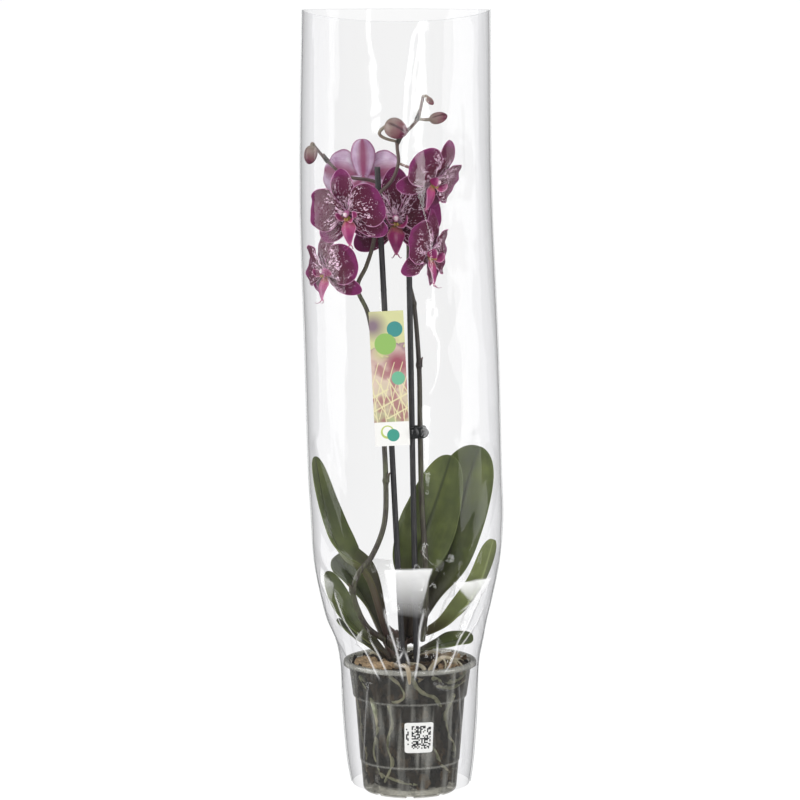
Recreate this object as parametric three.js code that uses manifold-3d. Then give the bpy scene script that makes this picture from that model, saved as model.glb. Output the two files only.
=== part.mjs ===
// Potted moth orchid in a clear nursery pot, inside an open-topped film sleeve.
// Units are millimetres, +Z is up, -Y is the front. The origin is the middle of the pot's foot.
// Heights of the plant are given above the top of the bark mix, so the plant rides on its pot.
import * as THREE from 'three';
import { mergeVertices } from 'three/addons/utils/BufferGeometryUtils.js';
import Module from 'manifold-3d';

const wasm = await Module();
wasm.setup();

// ---------------------------------------------------------------- driving dimensions
const gap = 0.3; // air kept between pieces that touch

const potHeight = 120;
const rimRadius = 60;
const rimBand = 4.5; // height of the turned-down rim
const neckRadius = 55.3; // outside of the wall just under the rim
const upperStepHeight = 86;
const upperStepRadius = 49.6;
const upperStepWidth = 1.8;
const lowerStepHeight = 27;
const lowerStepRadius = 44.3;
const lowerStepWidth = 0.7;
const footRadius = 42;
const potWall = 1.0;
const drainHoles = 8;
const drainHoleWidth = 9;
const drainHoleHeight = 4;

const mixDrop = 7; // the mix stops this far below the rim
const mixCrownRise = 3; // and is this much higher in the middle

const stakeRadius = 2.75;
const stakeFoot = 12; // stakes end this far above the pot's foot
const leftStakeRise = 452; // top of the left stake above the mix
const rightStakeRise = 368;

const spikeRadius = 2.3;
const spikeNodeRadius = 3.3;
const crownRadius = 9;
const crownRise = 36;
const crownDepth = 10;

const leafThickness = 1.8;
const sepalLength = 41;
const sepalHalfWidth = 11.5;
const petalLength = 37;
const petalHalfWidth = 21.5;
const petalAngle = 76; // degrees from the top sepal
const petalThickness = 0.9;
const columnRadius = 2.4;
const columnLength = 8;
const pedicelRadius = 1.4;
const lipLength = 24;
const lipHalfWidth = 8;

const rootRadius = 2.3;
const tagWidth = 31;
const tagHeight = 121;
const tagThickness = 0.6;
const labelWidth = 26;
const labelHeight = 28;
const labelThickness = 0.3;
const labelMiddleHeight = 57;
const labelTurn = 9.6; // degrees from the front towards +X

const clipWall = 1.6;
const clipHeight = 11;
const lowClipRise = 215;
const highClipRise = 400;

const sleeveHeight = 704; // top of the film above the floor
const sleeveFoot = 7; // the film hangs this far above the floor
const sleeveFilm = 0.5;
const sleeveSlack = 1.6; // room between the film and the widest thing inside it
const sleeveBellyHalfWidth = 86;
const sleeveBellyHeight = 290;
const sleeveMouthHalfWidth = 82.5;
const sleeveMouthLean = -12.5; // the mouth stands this far to one side
const sleeveDepth = 63; // half depth of the sleeve above the leaves

const mixTop = potHeight - mixDrop;

// ---------------------------------------------------------------- small helpers
const vec = (x, y, z) => new THREE.Vector3(x, y, z);
const aboveMix = (x, y, rise) => vec(x, y, mixTop + rise);
const curveThrough = (points) => new THREE.CatmullRomCurve3(points, false, 'centripetal');
const mix = THREE.MathUtils.lerp;

function material(name, color, roughness, metalness = 0, opacity = 1) {
  const made = new THREE.MeshStandardMaterial({ name, color, roughness, metalness });
  made.opacity = opacity;
  made.transparent = opacity < 1;
  return made;
}

const finish = {
  pot: material('clear_pot_plastic', 0xb9bcb8, 0.25, 0, 0.35),
  bark: material('bark', 0x4a4038, 0.95),
  chip: material('bark_chip', 0xb99a80, 0.9),
  leaf: material('leaf', 0x4f5a34, 0.45),
  stem: material('flower_stem', 0x564c46, 0.5),
  petal: material('petal', 0x7a2950, 0.6),
  lip: material('lip', 0xb8437c, 0.5),
  bud: material('bud', 0x9c6a72, 0.5),
  root: material('aerial_root', 0x9aa08a, 0.7),
  stake: material('stake', 0x2f3033, 0.55),
  clip: material('clip', 0x1d1f21, 0.35),
  tag: material('tag_card', 0xc9cf9a, 0.6),
  label: material('label_paper', 0xf4f4f2, 0.6),
  film: material('clear_film', 0xffffff, 0.1, 0, 0.15),
};

const orchid = new THREE.Group();

function addPiece(name, geometry, surface, parent = orchid) {
  const mesh = new THREE.Mesh(geometry, surface);
  mesh.name = name;
  parent.add(mesh);
  return mesh;
}

// ---------------------------------------------------------------- booleans
function toSolid(geometry) {
  const bare = geometry.clone();
  bare.deleteAttribute('normal');
  bare.deleteAttribute('uv');
  const merged = mergeVertices(bare, 1e-4);
  return new wasm.Manifold(new wasm.Mesh({
    numProp: 3,
    vertProperties: new Float32Array(merged.attributes.position.array),
    triVerts: new Uint32Array(merged.index.array),
  }));
}

function toGeometry(solid) {
  const { vertProperties, triVerts } = solid.getMesh();
  const geometry = new THREE.BufferGeometry();
  geometry.setAttribute('position', new THREE.BufferAttribute(vertProperties, 3));
  geometry.setIndex(new THREE.BufferAttribute(triVerts, 1));
  return geometry;
}

function joined(geometries) {
  return toGeometry(geometries.map(toSolid).reduce((whole, piece) => whole.add(piece)));
}

function cut(geometry, tools) {
  return toGeometry(tools.map(toSolid).reduce((whole, tool) => whole.subtract(tool), toSolid(geometry)));
}

// ---------------------------------------------------------------- basic shapes
// A tube of round section along a curve, closed at both ends.
function tube(curve, radius, steps, sides = 8) {
  const section = new THREE.Shape();
  for (let side = 0; side < sides; side += 1) {
    const angle = (side / sides) * Math.PI * 2;
    const [x, y] = [radius * Math.cos(angle), radius * Math.sin(angle)];
    if (side === 0) section.moveTo(x, y);
    else section.lineTo(x, y);
  }
  section.closePath();
  return new THREE.ExtrudeGeometry(section, { steps, extrudePath: curve, bevelEnabled: false });
}

// A body of revolution about Z. The profile starts and ends on the axis or closes on itself.
function turned(profile, sides) {
  const points = profile.map(([radius, height]) => new THREE.Vector2(radius, height));
  const lathe = new THREE.LatheGeometry(points, sides);
  return lathe.rotateX(Math.PI / 2);
}

// A sheet with two skins: at(across, along) gives { point, normal } for across and along from
// 0 to 1, and the skins lie half a thickness to each side of the point.
function thickSheet(at, thickness, columns, rows) {
  const positions = [];
  for (const side of [0.5, -0.5]) {
    for (let row = 0; row <= rows; row += 1) {
      for (let column = 0; column <= columns; column += 1) {
        const { point, normal } = at(column / columns, row / rows);
        positions.push(...point.clone().addScaledVector(normal, side * thickness).toArray());
      }
    }
  }
  const width = columns + 1;
  const underside = width * (rows + 1);
  const triangles = [];
  const quad = (a, b, c, d) => triangles.push(a, b, c, a, c, d);
  for (let row = 0; row < rows; row += 1) {
    for (let column = 0; column < columns; column += 1) {
      const corner = row * width + column;
      const [a, b, c, d] = [corner, corner + 1, corner + width + 1, corner + width];
      quad(a, b, c, d);
      quad(underside + d, underside + c, underside + b, underside + a);
    }
  }
  const wall = (a, b) => quad(b, a, underside + a, underside + b);
  const lastRow = rows * width;
  for (let column = 0; column < columns; column += 1) {
    wall(column, column + 1);
    wall(lastRow + column + 1, lastRow + column);
  }
  for (let row = 0; row < rows; row += 1) {
    wall((row + 1) * width, row * width);
    wall(row * width + columns, (row + 1) * width + columns);
  }
  const geometry = new THREE.BufferGeometry();
  geometry.setAttribute('position', new THREE.Float32BufferAttribute(positions, 3));
  geometry.setIndex(triangles);
  return geometry;
}

// Half-width of a blade as a share of its greatest: a sine from the base to the widest place,
// then a quarter ellipse to the tip.
function bladeOutline(along, baseShare, widestAt, tipShare) {
  if (along < widestAt) {
    return mix(baseShare, 1, Math.sin((along / widestAt) * Math.PI / 2));
  }
  const past = (along - widestAt) / (1 - widestAt);
  return mix(tipShare, 1, Math.sqrt(Math.max(0, 1 - past * past)));
}

// A leaf, sepal, petal or lobe: a sheet that runs along a spine. sideAtBase and sideAtTip point
// across it, fold raises both margins into a V and cup bows the two halves.
function blade(options) {
  const { spine, sideAtBase, sideAtTip = sideAtBase, halfWidth, thickness } = options;
  const { fold = 0, foldAtTip = fold, cup = 0, columns = 4, rows = 6 } = options;
  const { baseShare = 0.4, widestAt = 0.5, tipShare = 0.15 } = options;
  const at = (across, alongShare) => {
    const along = Math.sin(alongShare * Math.PI / 2);
    const centre = spine.getPoint(along);
    const forward = spine.getTangent(along);
    const side = sideAtBase.clone().lerp(sideAtTip, along);
    side.addScaledVector(forward, -side.dot(forward)).normalize();
    const normal = side.clone().cross(forward);
    const lean = mix(fold, foldAtTip, along);
    const half = halfWidth * bladeOutline(along, baseShare, widestAt, tipShare);
    const offset = (across * 2 - 1) * half;
    const rise = Math.abs(offset) * Math.sin(lean) + cup * half * (offset / half) ** 2;
    const point = centre.addScaledVector(side, offset * Math.cos(lean)).addScaledVector(normal, rise);
    return { point, normal };
  };
  return thickSheet(at, thickness, columns, rows);
}

// ---------------------------------------------------------------- pot
// Outside radius of the pot's wall at a height, straight between its steps.
function wallRadius(height) {
  if (height < lowerStepHeight) {
    return mix(footRadius, lowerStepRadius, height / lowerStepHeight);
  }
  if (height < upperStepHeight) {
    const share = (height - lowerStepHeight) / (upperStepHeight - lowerStepHeight);
    return mix(lowerStepRadius + lowerStepWidth, upperStepRadius, share);
  }
  const share = (height - upperStepHeight) / (potHeight - rimBand - upperStepHeight);
  return mix(upperStepRadius + upperStepWidth, neckRadius, share);
}

const potFloor = potWall * 1.4;

function potGeometry() {
  const neckHeight = potHeight - rimBand;
  const footBevel = 2;
  const profile = [
    [0, 0],
    [footRadius - footBevel, 0],
    [footRadius, footBevel],
    [lowerStepRadius, lowerStepHeight],
    [lowerStepRadius + lowerStepWidth, lowerStepHeight + potWall],
    [upperStepRadius, upperStepHeight],
    [upperStepRadius + upperStepWidth, upperStepHeight + potWall],
    [neckRadius, neckHeight],
    [neckRadius + potWall * 0.2, potHeight - potWall],
    [rimRadius - potWall, potHeight - potWall],
    [rimRadius - potWall, neckHeight],
    [rimRadius, neckHeight],
    [rimRadius, potHeight],
    [neckRadius - potWall, potHeight],
    [upperStepRadius + upperStepWidth - potWall, upperStepHeight + potWall],
    [upperStepRadius - potWall, upperStepHeight],
    [lowerStepRadius + lowerStepWidth - potWall, lowerStepHeight + potWall],
    [lowerStepRadius - potWall, lowerStepHeight],
    [footRadius - potWall, footBevel + potFloor],
    [footRadius - footBevel - potWall, potFloor],
    [0, potFloor],
  ];
  const holes = [];
  for (let hole = 0; hole < drainHoles; hole += 1) {
    const opening = new THREE.BoxGeometry(drainHoleWidth, footRadius / 3, drainHoleHeight * 2);
    opening.translate(0, footRadius, 0);
    opening.rotateZ(((hole + 0.5) / drainHoles) * Math.PI * 2);
    holes.push(opening);
  }
  return cut(turned(profile, 36), holes);
}

// ---------------------------------------------------------------- stakes
// Each stake is straight, from inside the mix to its top.
function stakeAxis(foot, top) {
  const at = (height) => {
    const share = (height - foot.z) / (top.z - foot.z);
    return foot.clone().lerp(top, share);
  };
  return { foot, top, at, curve: new THREE.LineCurve3(foot, top) };
}

const leftStake = stakeAxis(vec(-0.8, -19, stakeFoot), aboveMix(-29.2, -7, leftStakeRise));
const rightStake = stakeAxis(vec(7.8, -17, stakeFoot), aboveMix(-1, -7.1, rightStakeRise));

// A point beside a stake: turned by an angle from +X towards +Y, and clear of it by the gap.
function besideStake(stake, rise, degrees, spare = 0) {
  const angle = THREE.MathUtils.degToRad(degrees);
  const reach = stakeRadius + spikeNodeRadius + gap + spare;
  const point = stake.at(mixTop + rise);
  return point.add(vec(reach * Math.cos(angle), reach * Math.sin(angle), 0));
}

// ---------------------------------------------------------------- crown
const crownAxis = vec(-12, 4, 0);

function crownProfile(growth) {
  const foot = mixTop - crownDepth - growth;
  const top = mixTop + crownRise + growth;
  return [
    [0, foot],
    [crownRadius * 0.7 + growth, foot],
    [crownRadius + growth, mixTop],
    [crownRadius * 0.9 + growth, top - crownRise * 0.3],
    [crownRadius * 0.4 + growth, top],
    [0, top],
  ];
}

function crownGeometry(growth = 0) {
  return turned(crownProfile(growth), 12).translate(crownAxis.x, crownAxis.y, 0);
}

// ---------------------------------------------------------------- bark mix and chips
function mixGeometry() {
  const inside = (height) => wallRadius(height) - potWall - gap;
  const foot = potFloor + gap;
  const profile = [
    [0, foot],
    [footRadius - potWall - 4, foot],
    [inside(8) - 1, 8],
    [inside(lowerStepHeight) - lowerStepWidth, lowerStepHeight],
    [inside(upperStepHeight - 1) - lowerStepWidth, upperStepHeight - 1],
    [inside(mixTop) - upperStepWidth, mixTop - mixCrownRise],
    [inside(mixTop) * 0.5, mixTop],
    [0, mixTop],
  ];
  const stakeHole = (stake) => {
    const foot2 = stake.at(stakeFoot - gap * 2);
    return tube(new THREE.LineCurve3(foot2, stake.at(potHeight + 20)), stakeRadius + gap, 1, 10);
  };
  return cut(turned(profile, 28), [stakeHole(leftStake), stakeHole(rightStake), crownGeometry(gap)]);
}

// A flake of bark: an uneven outline with a bevelled edge, laid flat and turned.
function chipGeometry({ length, width, thickness, middle, turn, pitch }) {
  const outline = new THREE.Shape();
  const corners = [[-0.5, -0.2], [-0.3, -0.5], [0.35, -0.42], [0.5, 0.05], [0.3, 0.5], [-0.25, 0.4]];
  outline.setFromPoints(corners.map(([x, y]) => new THREE.Vector2(x * length, y * width)));
  outline.closePath();
  const bevel = thickness * 0.25;
  const chip = new THREE.ExtrudeGeometry(outline, {
    depth: thickness - 2 * bevel,
    bevelSize: bevel,
    bevelThickness: bevel,
    bevelSegments: 1,
  });
  chip.translate(0, 0, bevel);
  chip.rotateX(pitch);
  chip.rotateZ(turn);
  return chip.translate(middle.x, middle.y, middle.z);
}

const chips = {
  bark_chip_front: { length: 24, width: 9, thickness: 5, middle: [-28, -34, 1.5], turn: -0.5, pitch: 0.15 },
  bark_chip_left: { length: 16, width: 11, thickness: 6, middle: [-40, -14, 1], turn: 0.9, pitch: -0.1 },
  bark_chip_right: { length: 18, width: 12, thickness: 5, middle: [34, 10, 1], turn: 0.3, pitch: 0.1 },
};

// ---------------------------------------------------------------- leaves
// Each leaf is a spine from the crown to the tip, and the direction that points across it there.
const leaves = {
  leaf_tall_left: {
    points: [[-24, 2, 34], [-42, -1, 86], [-58, 0, 98], [-69, 2, 115], [-77.5, 4, 145], [-86, 3, 191]],
    sideAtBase: [0.2, 1, 0.2], sideAtTip: [0.5, 0.85, 0.1], halfWidth: 22, fold: 0.9, foldAtTip: 0.15,
  },
  leaf_back_left: {
    points: [[-25, 11, 24], [-42, 24, 58], [-57, 31, 80], [-69, 31, 95]],
    sideAtBase: [0.2, 1, 0.2], sideAtTip: [0.35, 0.6, 0.6], halfWidth: 19, fold: 0.5, foldAtTip: 0.2,
  },
  leaf_low_left: {
    points: [[-24, -5, 14], [-45, -10, 33], [-62, -11, 57], [-75, -6, 88]],
    sideAtBase: [0.3, 1, 0.3], sideAtTip: [0.7, 0.6, 0.3], halfWidth: 13, fold: 0.6, foldAtTip: 0.2,
  },
  leaf_lowest_left: {
    points: [[-23, 4, 8], [-40, 4, 20], [-54, 2, 30], [-66, 0, 43]],
    sideAtBase: [0.1, 1, 0], sideAtTip: [0.2, 1, 0], halfWidth: 12, fold: 0.35, foldAtTip: 0.1,
  },
  leaf_front_right: {
    points: [[-2, 6, 36], [1, 9, 76], [4, 10, 97], [12, 9, 118], [21, 7, 142], [37, 4, 192]],
    sideAtBase: [1, 0.1, 0], sideAtTip: [0.95, -0.1, -0.3], halfWidth: 28.5, fold: 1.0, foldAtTip: 0.1,
  },
  leaf_back_right: {
    points: [[2, 14, 28], [18, 20, 66], [34, 22, 96], [44, 20, 132], [53, 17, 168], [63, 13, 199]],
    sideAtBase: [0.9, -0.3, -0.3], sideAtTip: [0.9, -0.35, -0.3], halfWidth: 30, fold: 0.8, foldAtTip: 0.1,
  },
  leaf_mid_right: {
    points: [[4, 3, 24], [36, -8, 42], [60, -10, 74], [75, -5, 117]],
    sideAtBase: [-0.3, -1, 0.3], sideAtTip: [-0.6, -0.8, 0.5], halfWidth: 17, fold: 0.55, foldAtTip: 0.15,
  },
  leaf_low_right: {
    points: [[2, 2, 10], [24, -4, 19], [42, -8, 25], [57, -10, 27]],
    sideAtBase: [0, -1, 0], sideAtTip: [0.2, -1, -0.4], halfWidth: 15, fold: 0.4, foldAtTip: 0.1,
  },
};

function leafGeometry(leaf) {
  const points = leaf.points.map(([x, y, rise]) => aboveMix(x, y, rise));
  return blade({
    spine: curveThrough(points),
    sideAtBase: vec(...leaf.sideAtBase),
    sideAtTip: vec(...leaf.sideAtTip),
    halfWidth: leaf.halfWidth,
    thickness: leafThickness,
    fold: leaf.fold,
    foldAtTip: leaf.foldAtTip,
    baseShare: 0.28,
    widestAt: 0.6,
    tipShare: 0.12,
    columns: 4,
    rows: 9,
  });
}

// ---------------------------------------------------------------- flower spikes
const leftSpikePoints = [
  aboveMix(-24, -12, 27),
  aboveMix(-38, -24, 40),
  aboveMix(-46, -29, 55),
  aboveMix(-51, -31, 75),
  aboveMix(-45, -30, 92),
  aboveMix(-35, -27, 104),
  aboveMix(-23.5, -22, 132),
  besideStake(leftStake, 172, 200, 1),
  besideStake(leftStake, 250, 180, 2),
  aboveMix(-37.5, -6, 321),
  aboveMix(-47, -6, 345),
  aboveMix(-39, -6, 364),
  besideStake(leftStake, 388, 190),
  besideStake(leftStake, 412, 215),
  besideStake(leftStake, 428, 270),
  aboveMix(-16, -12, 441),
  aboveMix(-10.5, -10, 456),
  aboveMix(-11, -9, 475),
  aboveMix(-3, -8, 484),
  aboveMix(6.5, -7, 495),
  aboveMix(11.5, -7, 515),
];

const rightSpikePoints = [
  aboveMix(11, -10.5, 26),
  aboveMix(14.5, -12, 60),
  aboveMix(13.6, -11, 101),
  besideStake(rightStake, 150, 25, 2),
  besideStake(rightStake, 215, 25, 1.6),
  besideStake(rightStake, 275, 25, 1.6),
  besideStake(rightStake, 330, 60, 0.8),
  besideStake(rightStake, 352, 95, 0.8),
  aboveMix(-2, 17, 384),
  aboveMix(-8, 22, 404),
  aboveMix(-15, 23, 422),
  aboveMix(-31, 22, 437),
  aboveMix(-58, 16, 443),
  aboveMix(-75, 8, 458),
  aboveMix(-85, 4, 470),
];

const leftSpike = curveThrough(leftSpikePoints);
const rightSpike = curveThrough(rightSpikePoints);

function spikeGeometry(spike, steps, nodePoints) {
  const swellings = nodePoints.map((point) => {
    const knot = new THREE.SphereGeometry(spikeNodeRadius, 6, 4);
    return knot.rotateX(Math.PI / 2).translate(point.x, point.y, point.z);
  });
  return joined([tube(spike, spikeRadius, steps), ...swellings]);
}

// ---------------------------------------------------------------- buds
// A bud is an egg on a curved stalk that starts beside its spike.
function budGeometry({ from, bend, middle, pointing, radius, length }) {
  const egg = new THREE.SphereGeometry(radius, 10, 8);
  egg.scale(1, length / (2 * radius), 1);
  const turn = new THREE.Quaternion().setFromUnitVectors(vec(0, 1, 0), pointing.clone().normalize());
  egg.applyQuaternion(turn);
  egg.translate(middle.x, middle.y, middle.z);
  const clear = bend.clone().sub(from).setLength(spikeRadius + gap + pedicelRadius);
  const start = from.clone().add(clear);
  const stalk = tube(new THREE.QuadraticBezierCurve3(start, bend, middle), pedicelRadius, 6, 6);
  return joined([egg, stalk]);
}

const buds = {
  bud_large: {
    from: aboveMix(-11, -9, 475), bend: aboveMix(-29, -12, 484), middle: aboveMix(-12.5, -21, 487),
    pointing: vec(0.9, -0.3, -0.5), radius: 9, length: 20,
  },
  bud_small: {
    from: aboveMix(6.5, -7, 495), bend: aboveMix(13, -8, 494), middle: aboveMix(25, -8, 496),
    pointing: vec(1, -0.1, 0.25), radius: 5.5, length: 16,
  },
  bud_tip: {
    from: aboveMix(11.5, -7, 515), bend: aboveMix(15, -8, 516), middle: aboveMix(17.5, -9, 511),
    pointing: vec(0.6, -0.1, -0.6), radius: 3, length: 9,
  },
  bud_far_left: {
    from: aboveMix(-85, 4, 470), bend: aboveMix(-88, 1, 476), middle: aboveMix(-88.5, -5, 463),
    pointing: vec(-0.2, -0.2, -1), radius: 6, length: 16.5,
  },
};

// ---------------------------------------------------------------- flowers
// In its own frame a flower faces +Z with its top sepal along +Y.
const flowers = {
  flower_1: {
    centre: [20, -18, 443], facing: [0.62, -0.68, -0.38], roll: -25, sweep: 8,
    from: aboveMix(-10.5, -10, 456), size: 0.9,
  },
  flower_2: {
    centre: [-42, 34, 440], facing: [0.05, 0.95, 0.2], roll: 0, sweep: 10,
    from: aboveMix(-31, 22, 437), size: 0.95,
  },
  flower_3: {
    centre: [-54.5, -32, 414.5], facing: [-0.3, -0.93, -0.25], roll: 8, sweep: 4,
    from: besideStake(leftStake, 412, 215), size: 0.95,
  },
  flower_4: {
    centre: [-13.2, 11.5, 406], facing: [0.06, -1, -0.02], roll: 0, sweep: 3,
    from: aboveMix(-8, 22, 404), size: 1.1,
  },
  flower_5: {
    centre: [15, -12, 377], facing: [0.86, -0.5, -0.1], roll: -15, sweep: 6,
    from: besideStake(rightStake, 352, 95, 0.8), size: 0.95,
  },
  flower_6: {
    centre: [-73, -12, 361], facing: [-0.7, -0.7, -0.12], roll: 5, sweep: 13,
    from: aboveMix(-47, -6, 345), size: 0.87,
  },
};

// A blade that leaves the flower's middle at an angle from its top, clockwise from the front.
function floralBlade(options) {
  const { degrees, start, length, lift, bend, sweep = 0, halfWidth, baseShare, widestAt, cup, columns } = options;
  const angle = THREE.MathUtils.degToRad(degrees);
  const outward = vec(Math.sin(angle), Math.cos(angle), 0);
  const side = vec(Math.cos(angle), -Math.sin(angle), 0);
  const along = (reach, height) => outward.clone().multiplyScalar(reach).setZ(height);
  const spine = new THREE.QuadraticBezierCurve3(
    along(start, lift),
    along(mix(start, length, 0.5), lift + bend),
    along(length, lift + bend * 0.4 - sweep),
  );
  return blade({
    spine,
    sideAtBase: side,
    halfWidth,
    thickness: petalThickness,
    baseShare,
    widestAt,
    cup,
    columns,
    tipShare: 0.2,
    rows: 5,
  });
}

function sepalWhorl(sweep) {
  const sepals = [0, 128, 232].map((degrees) => floralBlade({
    degrees, start: -1, length: sepalLength, lift: 0, bend: 2.5, sweep,
    halfWidth: sepalHalfWidth, baseShare: 0.34, widestAt: 0.55, cup: 0.15, columns: 2,
  }));
  const hole = new THREE.CylinderGeometry(pedicelRadius + gap, pedicelRadius + gap, 12, 10);
  return cut(joined(sepals), [hole.rotateX(Math.PI / 2)]);
}

function petalGeometry(degrees, sweep) {
  return floralBlade({
    degrees, start: columnRadius + gap * 2, length: petalLength, lift: 3.2, bend: 3, sweep,
    halfWidth: petalHalfWidth, baseShare: 0.14, widestAt: 0.6, cup: 0.1, columns: 4,
  });
}

// The lip: a long middle lobe that hangs forward and two side lobes that stand beside the column.
function lipGeometry() {
  const footY = -columnRadius - gap - 2.6;
  const heel = new THREE.SphereGeometry(2.4, 8, 6).translate(0, footY, 5.2);
  const middle = blade({
    spine: new THREE.QuadraticBezierCurve3(
      vec(0, footY, 5), vec(0, footY - lipLength * 0.2, 16), vec(0, footY - lipLength, 14),
    ),
    sideAtBase: vec(1, 0, 0),
    halfWidth: lipHalfWidth,
    thickness: petalThickness,
    fold: 0.3,
    baseShare: 0.35,
    widestAt: 0.45,
    tipShare: 0.1,
    columns: 2,
    rows: 5,
  });
  const lobe = (hand) => blade({
    spine: new THREE.QuadraticBezierCurve3(
      vec(hand, footY, 5.5), vec(hand * 8, footY - 1, 9), vec(hand * 8.5, footY + 8, 13),
    ),
    sideAtBase: vec(0, 0, hand),
    sideAtTip: vec(0, 0, hand),
    halfWidth: 4.5,
    thickness: petalThickness,
    baseShare: 0.5,
    widestAt: 0.5,
    tipShare: 0.3,
    columns: 2,
    rows: 3,
  });
  return joined([heel, middle, lobe(-1), lobe(1)]);
}

// The column stands in the middle, and the flower's stalk runs back through the sepals.
function columnGeometry(stalkEnd) {
  const column = turned([
    [0, 1.4],
    [columnRadius * 0.8, 1.4],
    [columnRadius, columnLength * 0.5],
    [columnRadius, columnLength],
    [columnRadius * 0.5, columnLength + 1.5],
    [0, columnLength + 1.5],
  ], 10);
  const reach = stalkEnd.length();
  const stalk = new THREE.CubicBezierCurve3(
    vec(0, 0, 2.4), vec(0, 0, -reach * 0.5), stalkEnd.clone().multiplyScalar(0.7), stalkEnd,
  );
  return joined([column, tube(stalk, pedicelRadius, 8, 6)]);
}

function addFlower(name, { centre, facing, roll, sweep, from, size }) {
  const frame = new THREE.Group();
  const forward = vec(...facing).normalize();
  const across = vec(0, 0, 1).cross(forward).normalize();
  const up = forward.clone().cross(across);
  frame.position.copy(aboveMix(...centre));
  frame.quaternion.setFromRotationMatrix(new THREE.Matrix4().makeBasis(across, up, forward));
  frame.rotateZ(THREE.MathUtils.degToRad(roll));
  frame.scale.setScalar(size);
  frame.updateMatrixWorld();
  orchid.add(frame);

  const towardsFlower = frame.position.clone().sub(from).normalize();
  const stalkEnd = from.clone().addScaledVector(towardsFlower, spikeNodeRadius + gap * 2);
  addPiece(`${name}_sepals`, sepalWhorl(sweep), finish.petal, frame);
  addPiece(`${name}_petal_left`, petalGeometry(-petalAngle, sweep), finish.petal, frame);
  addPiece(`${name}_petal_right`, petalGeometry(petalAngle, sweep), finish.petal, frame);
  addPiece(`${name}_lip`, lipGeometry(), finish.lip, frame);
  addPiece(`${name}_column`, columnGeometry(frame.worldToLocal(stalkEnd)), finish.stem, frame);
}

// ---------------------------------------------------------------- aerial roots
function rimRootGeometry() {
  const overRim = rimRadius + rootRadius + gap;
  const rimTop = potHeight + rootRadius + gap;
  return tube(curveThrough([
    vec(-15, -14, mixTop + 4),
    vec(-9, -34, mixTop + 6),
    vec(-5, -rimRadius + 8, rimTop + 1),
    vec(-3, -rimRadius + 1, rimTop + 0.8),
    vec(-1.5, -overRim + 0.2, rimTop - 2),
    vec(-0.5, -overRim - 0.4, potHeight - 10),
  ]), rootRadius, 14);
}

function archRootGeometry() {
  const foot = rootRadius + gap;
  return tube(curveThrough([
    aboveMix(17, -36, foot),
    aboveMix(22, -33, foot + 6),
    aboveMix(29, -30, foot + 11),
    aboveMix(37, -27, foot + 9),
    aboveMix(43, -24, foot + 1),
  ]), rootRadius, 12);
}

// ---------------------------------------------------------------- clips, tag and label
// A spring clip closed round a stake and the spike beside it: two jaws and a finger tab.
function clipGeometry(stake, spikePoint) {
  const stakePoint = stake.at(spikePoint.z);
  const middle = stakePoint.clone().lerp(spikePoint, 0.5);
  const reach = stakePoint.distanceTo(spikePoint) / 2;
  const hole = Math.max(stakeRadius, spikeNodeRadius) + gap * 2;
  const stadium = (radius, Path) => {
    const path = new Path();
    path.absarc(reach, 0, radius, -Math.PI / 2, Math.PI / 2);
    path.absarc(-reach, 0, radius, Math.PI / 2, Math.PI * 1.5);
    path.closePath();
    return path;
  };
  const band = stadium(hole + clipWall, THREE.Shape);
  band.holes.push(stadium(hole, THREE.Path));
  const jaws = new THREE.ExtrudeGeometry(band, { depth: clipHeight, bevelEnabled: false, curveSegments: 8 });
  jaws.translate(0, 0, -clipHeight / 2);
  const tab = new THREE.BoxGeometry(clipWall * 2, 9, clipHeight * 0.8);
  tab.translate(reach * 0.2, -hole - clipWall - 3.5, 0);
  const heading = Math.atan2(spikePoint.y - stakePoint.y, spikePoint.x - stakePoint.x);
  const clip = joined([jaws, tab]);
  clip.rotateZ(heading);
  return clip.translate(middle.x, middle.y, middle.z);
}

// The tag hangs flat in front of the left stake and leans with it.
function addTag() {
  const middleRise = 264;
  const stakePoint = leftStake.at(mixTop + middleRise);
  const lean = Math.atan2(leftStake.top.x - leftStake.foot.x, leftStake.top.z - leftStake.foot.z);
  const pitch = Math.atan2(leftStake.top.y - leftStake.foot.y, leftStake.top.z - leftStake.foot.z);
  const card = new THREE.BoxGeometry(tagWidth, tagThickness, tagHeight);
  const tag = addPiece('plant_tag', card, finish.tag);
  tag.position.set(stakePoint.x + 1, stakePoint.y - stakeRadius - tagThickness - gap * 2, stakePoint.z);
  tag.rotation.set(-pitch, lean, 0);
}

function labelGeometry() {
  const radius = wallRadius(labelMiddleHeight);
  const halfTurn = labelWidth / 2 / radius;
  const front = THREE.MathUtils.degToRad(labelTurn - 90);
  const slope = (wallRadius(upperStepHeight - 1) - wallRadius(lowerStepHeight + 1))
    / (upperStepHeight - lowerStepHeight - 2);
  const at = (across, along) => {
    const angle = front + (across * 2 - 1) * halfTurn;
    const height = labelMiddleHeight + (along - 0.5) * labelHeight;
    const reach = wallRadius(height) + gap + labelThickness / 2;
    const point = vec(reach * Math.cos(angle), reach * Math.sin(angle), height);
    const normal = vec(Math.cos(angle), Math.sin(angle), -slope).normalize();
    return { point, normal };
  };
  return thickSheet(at, labelThickness, 6, 1);
}

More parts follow.
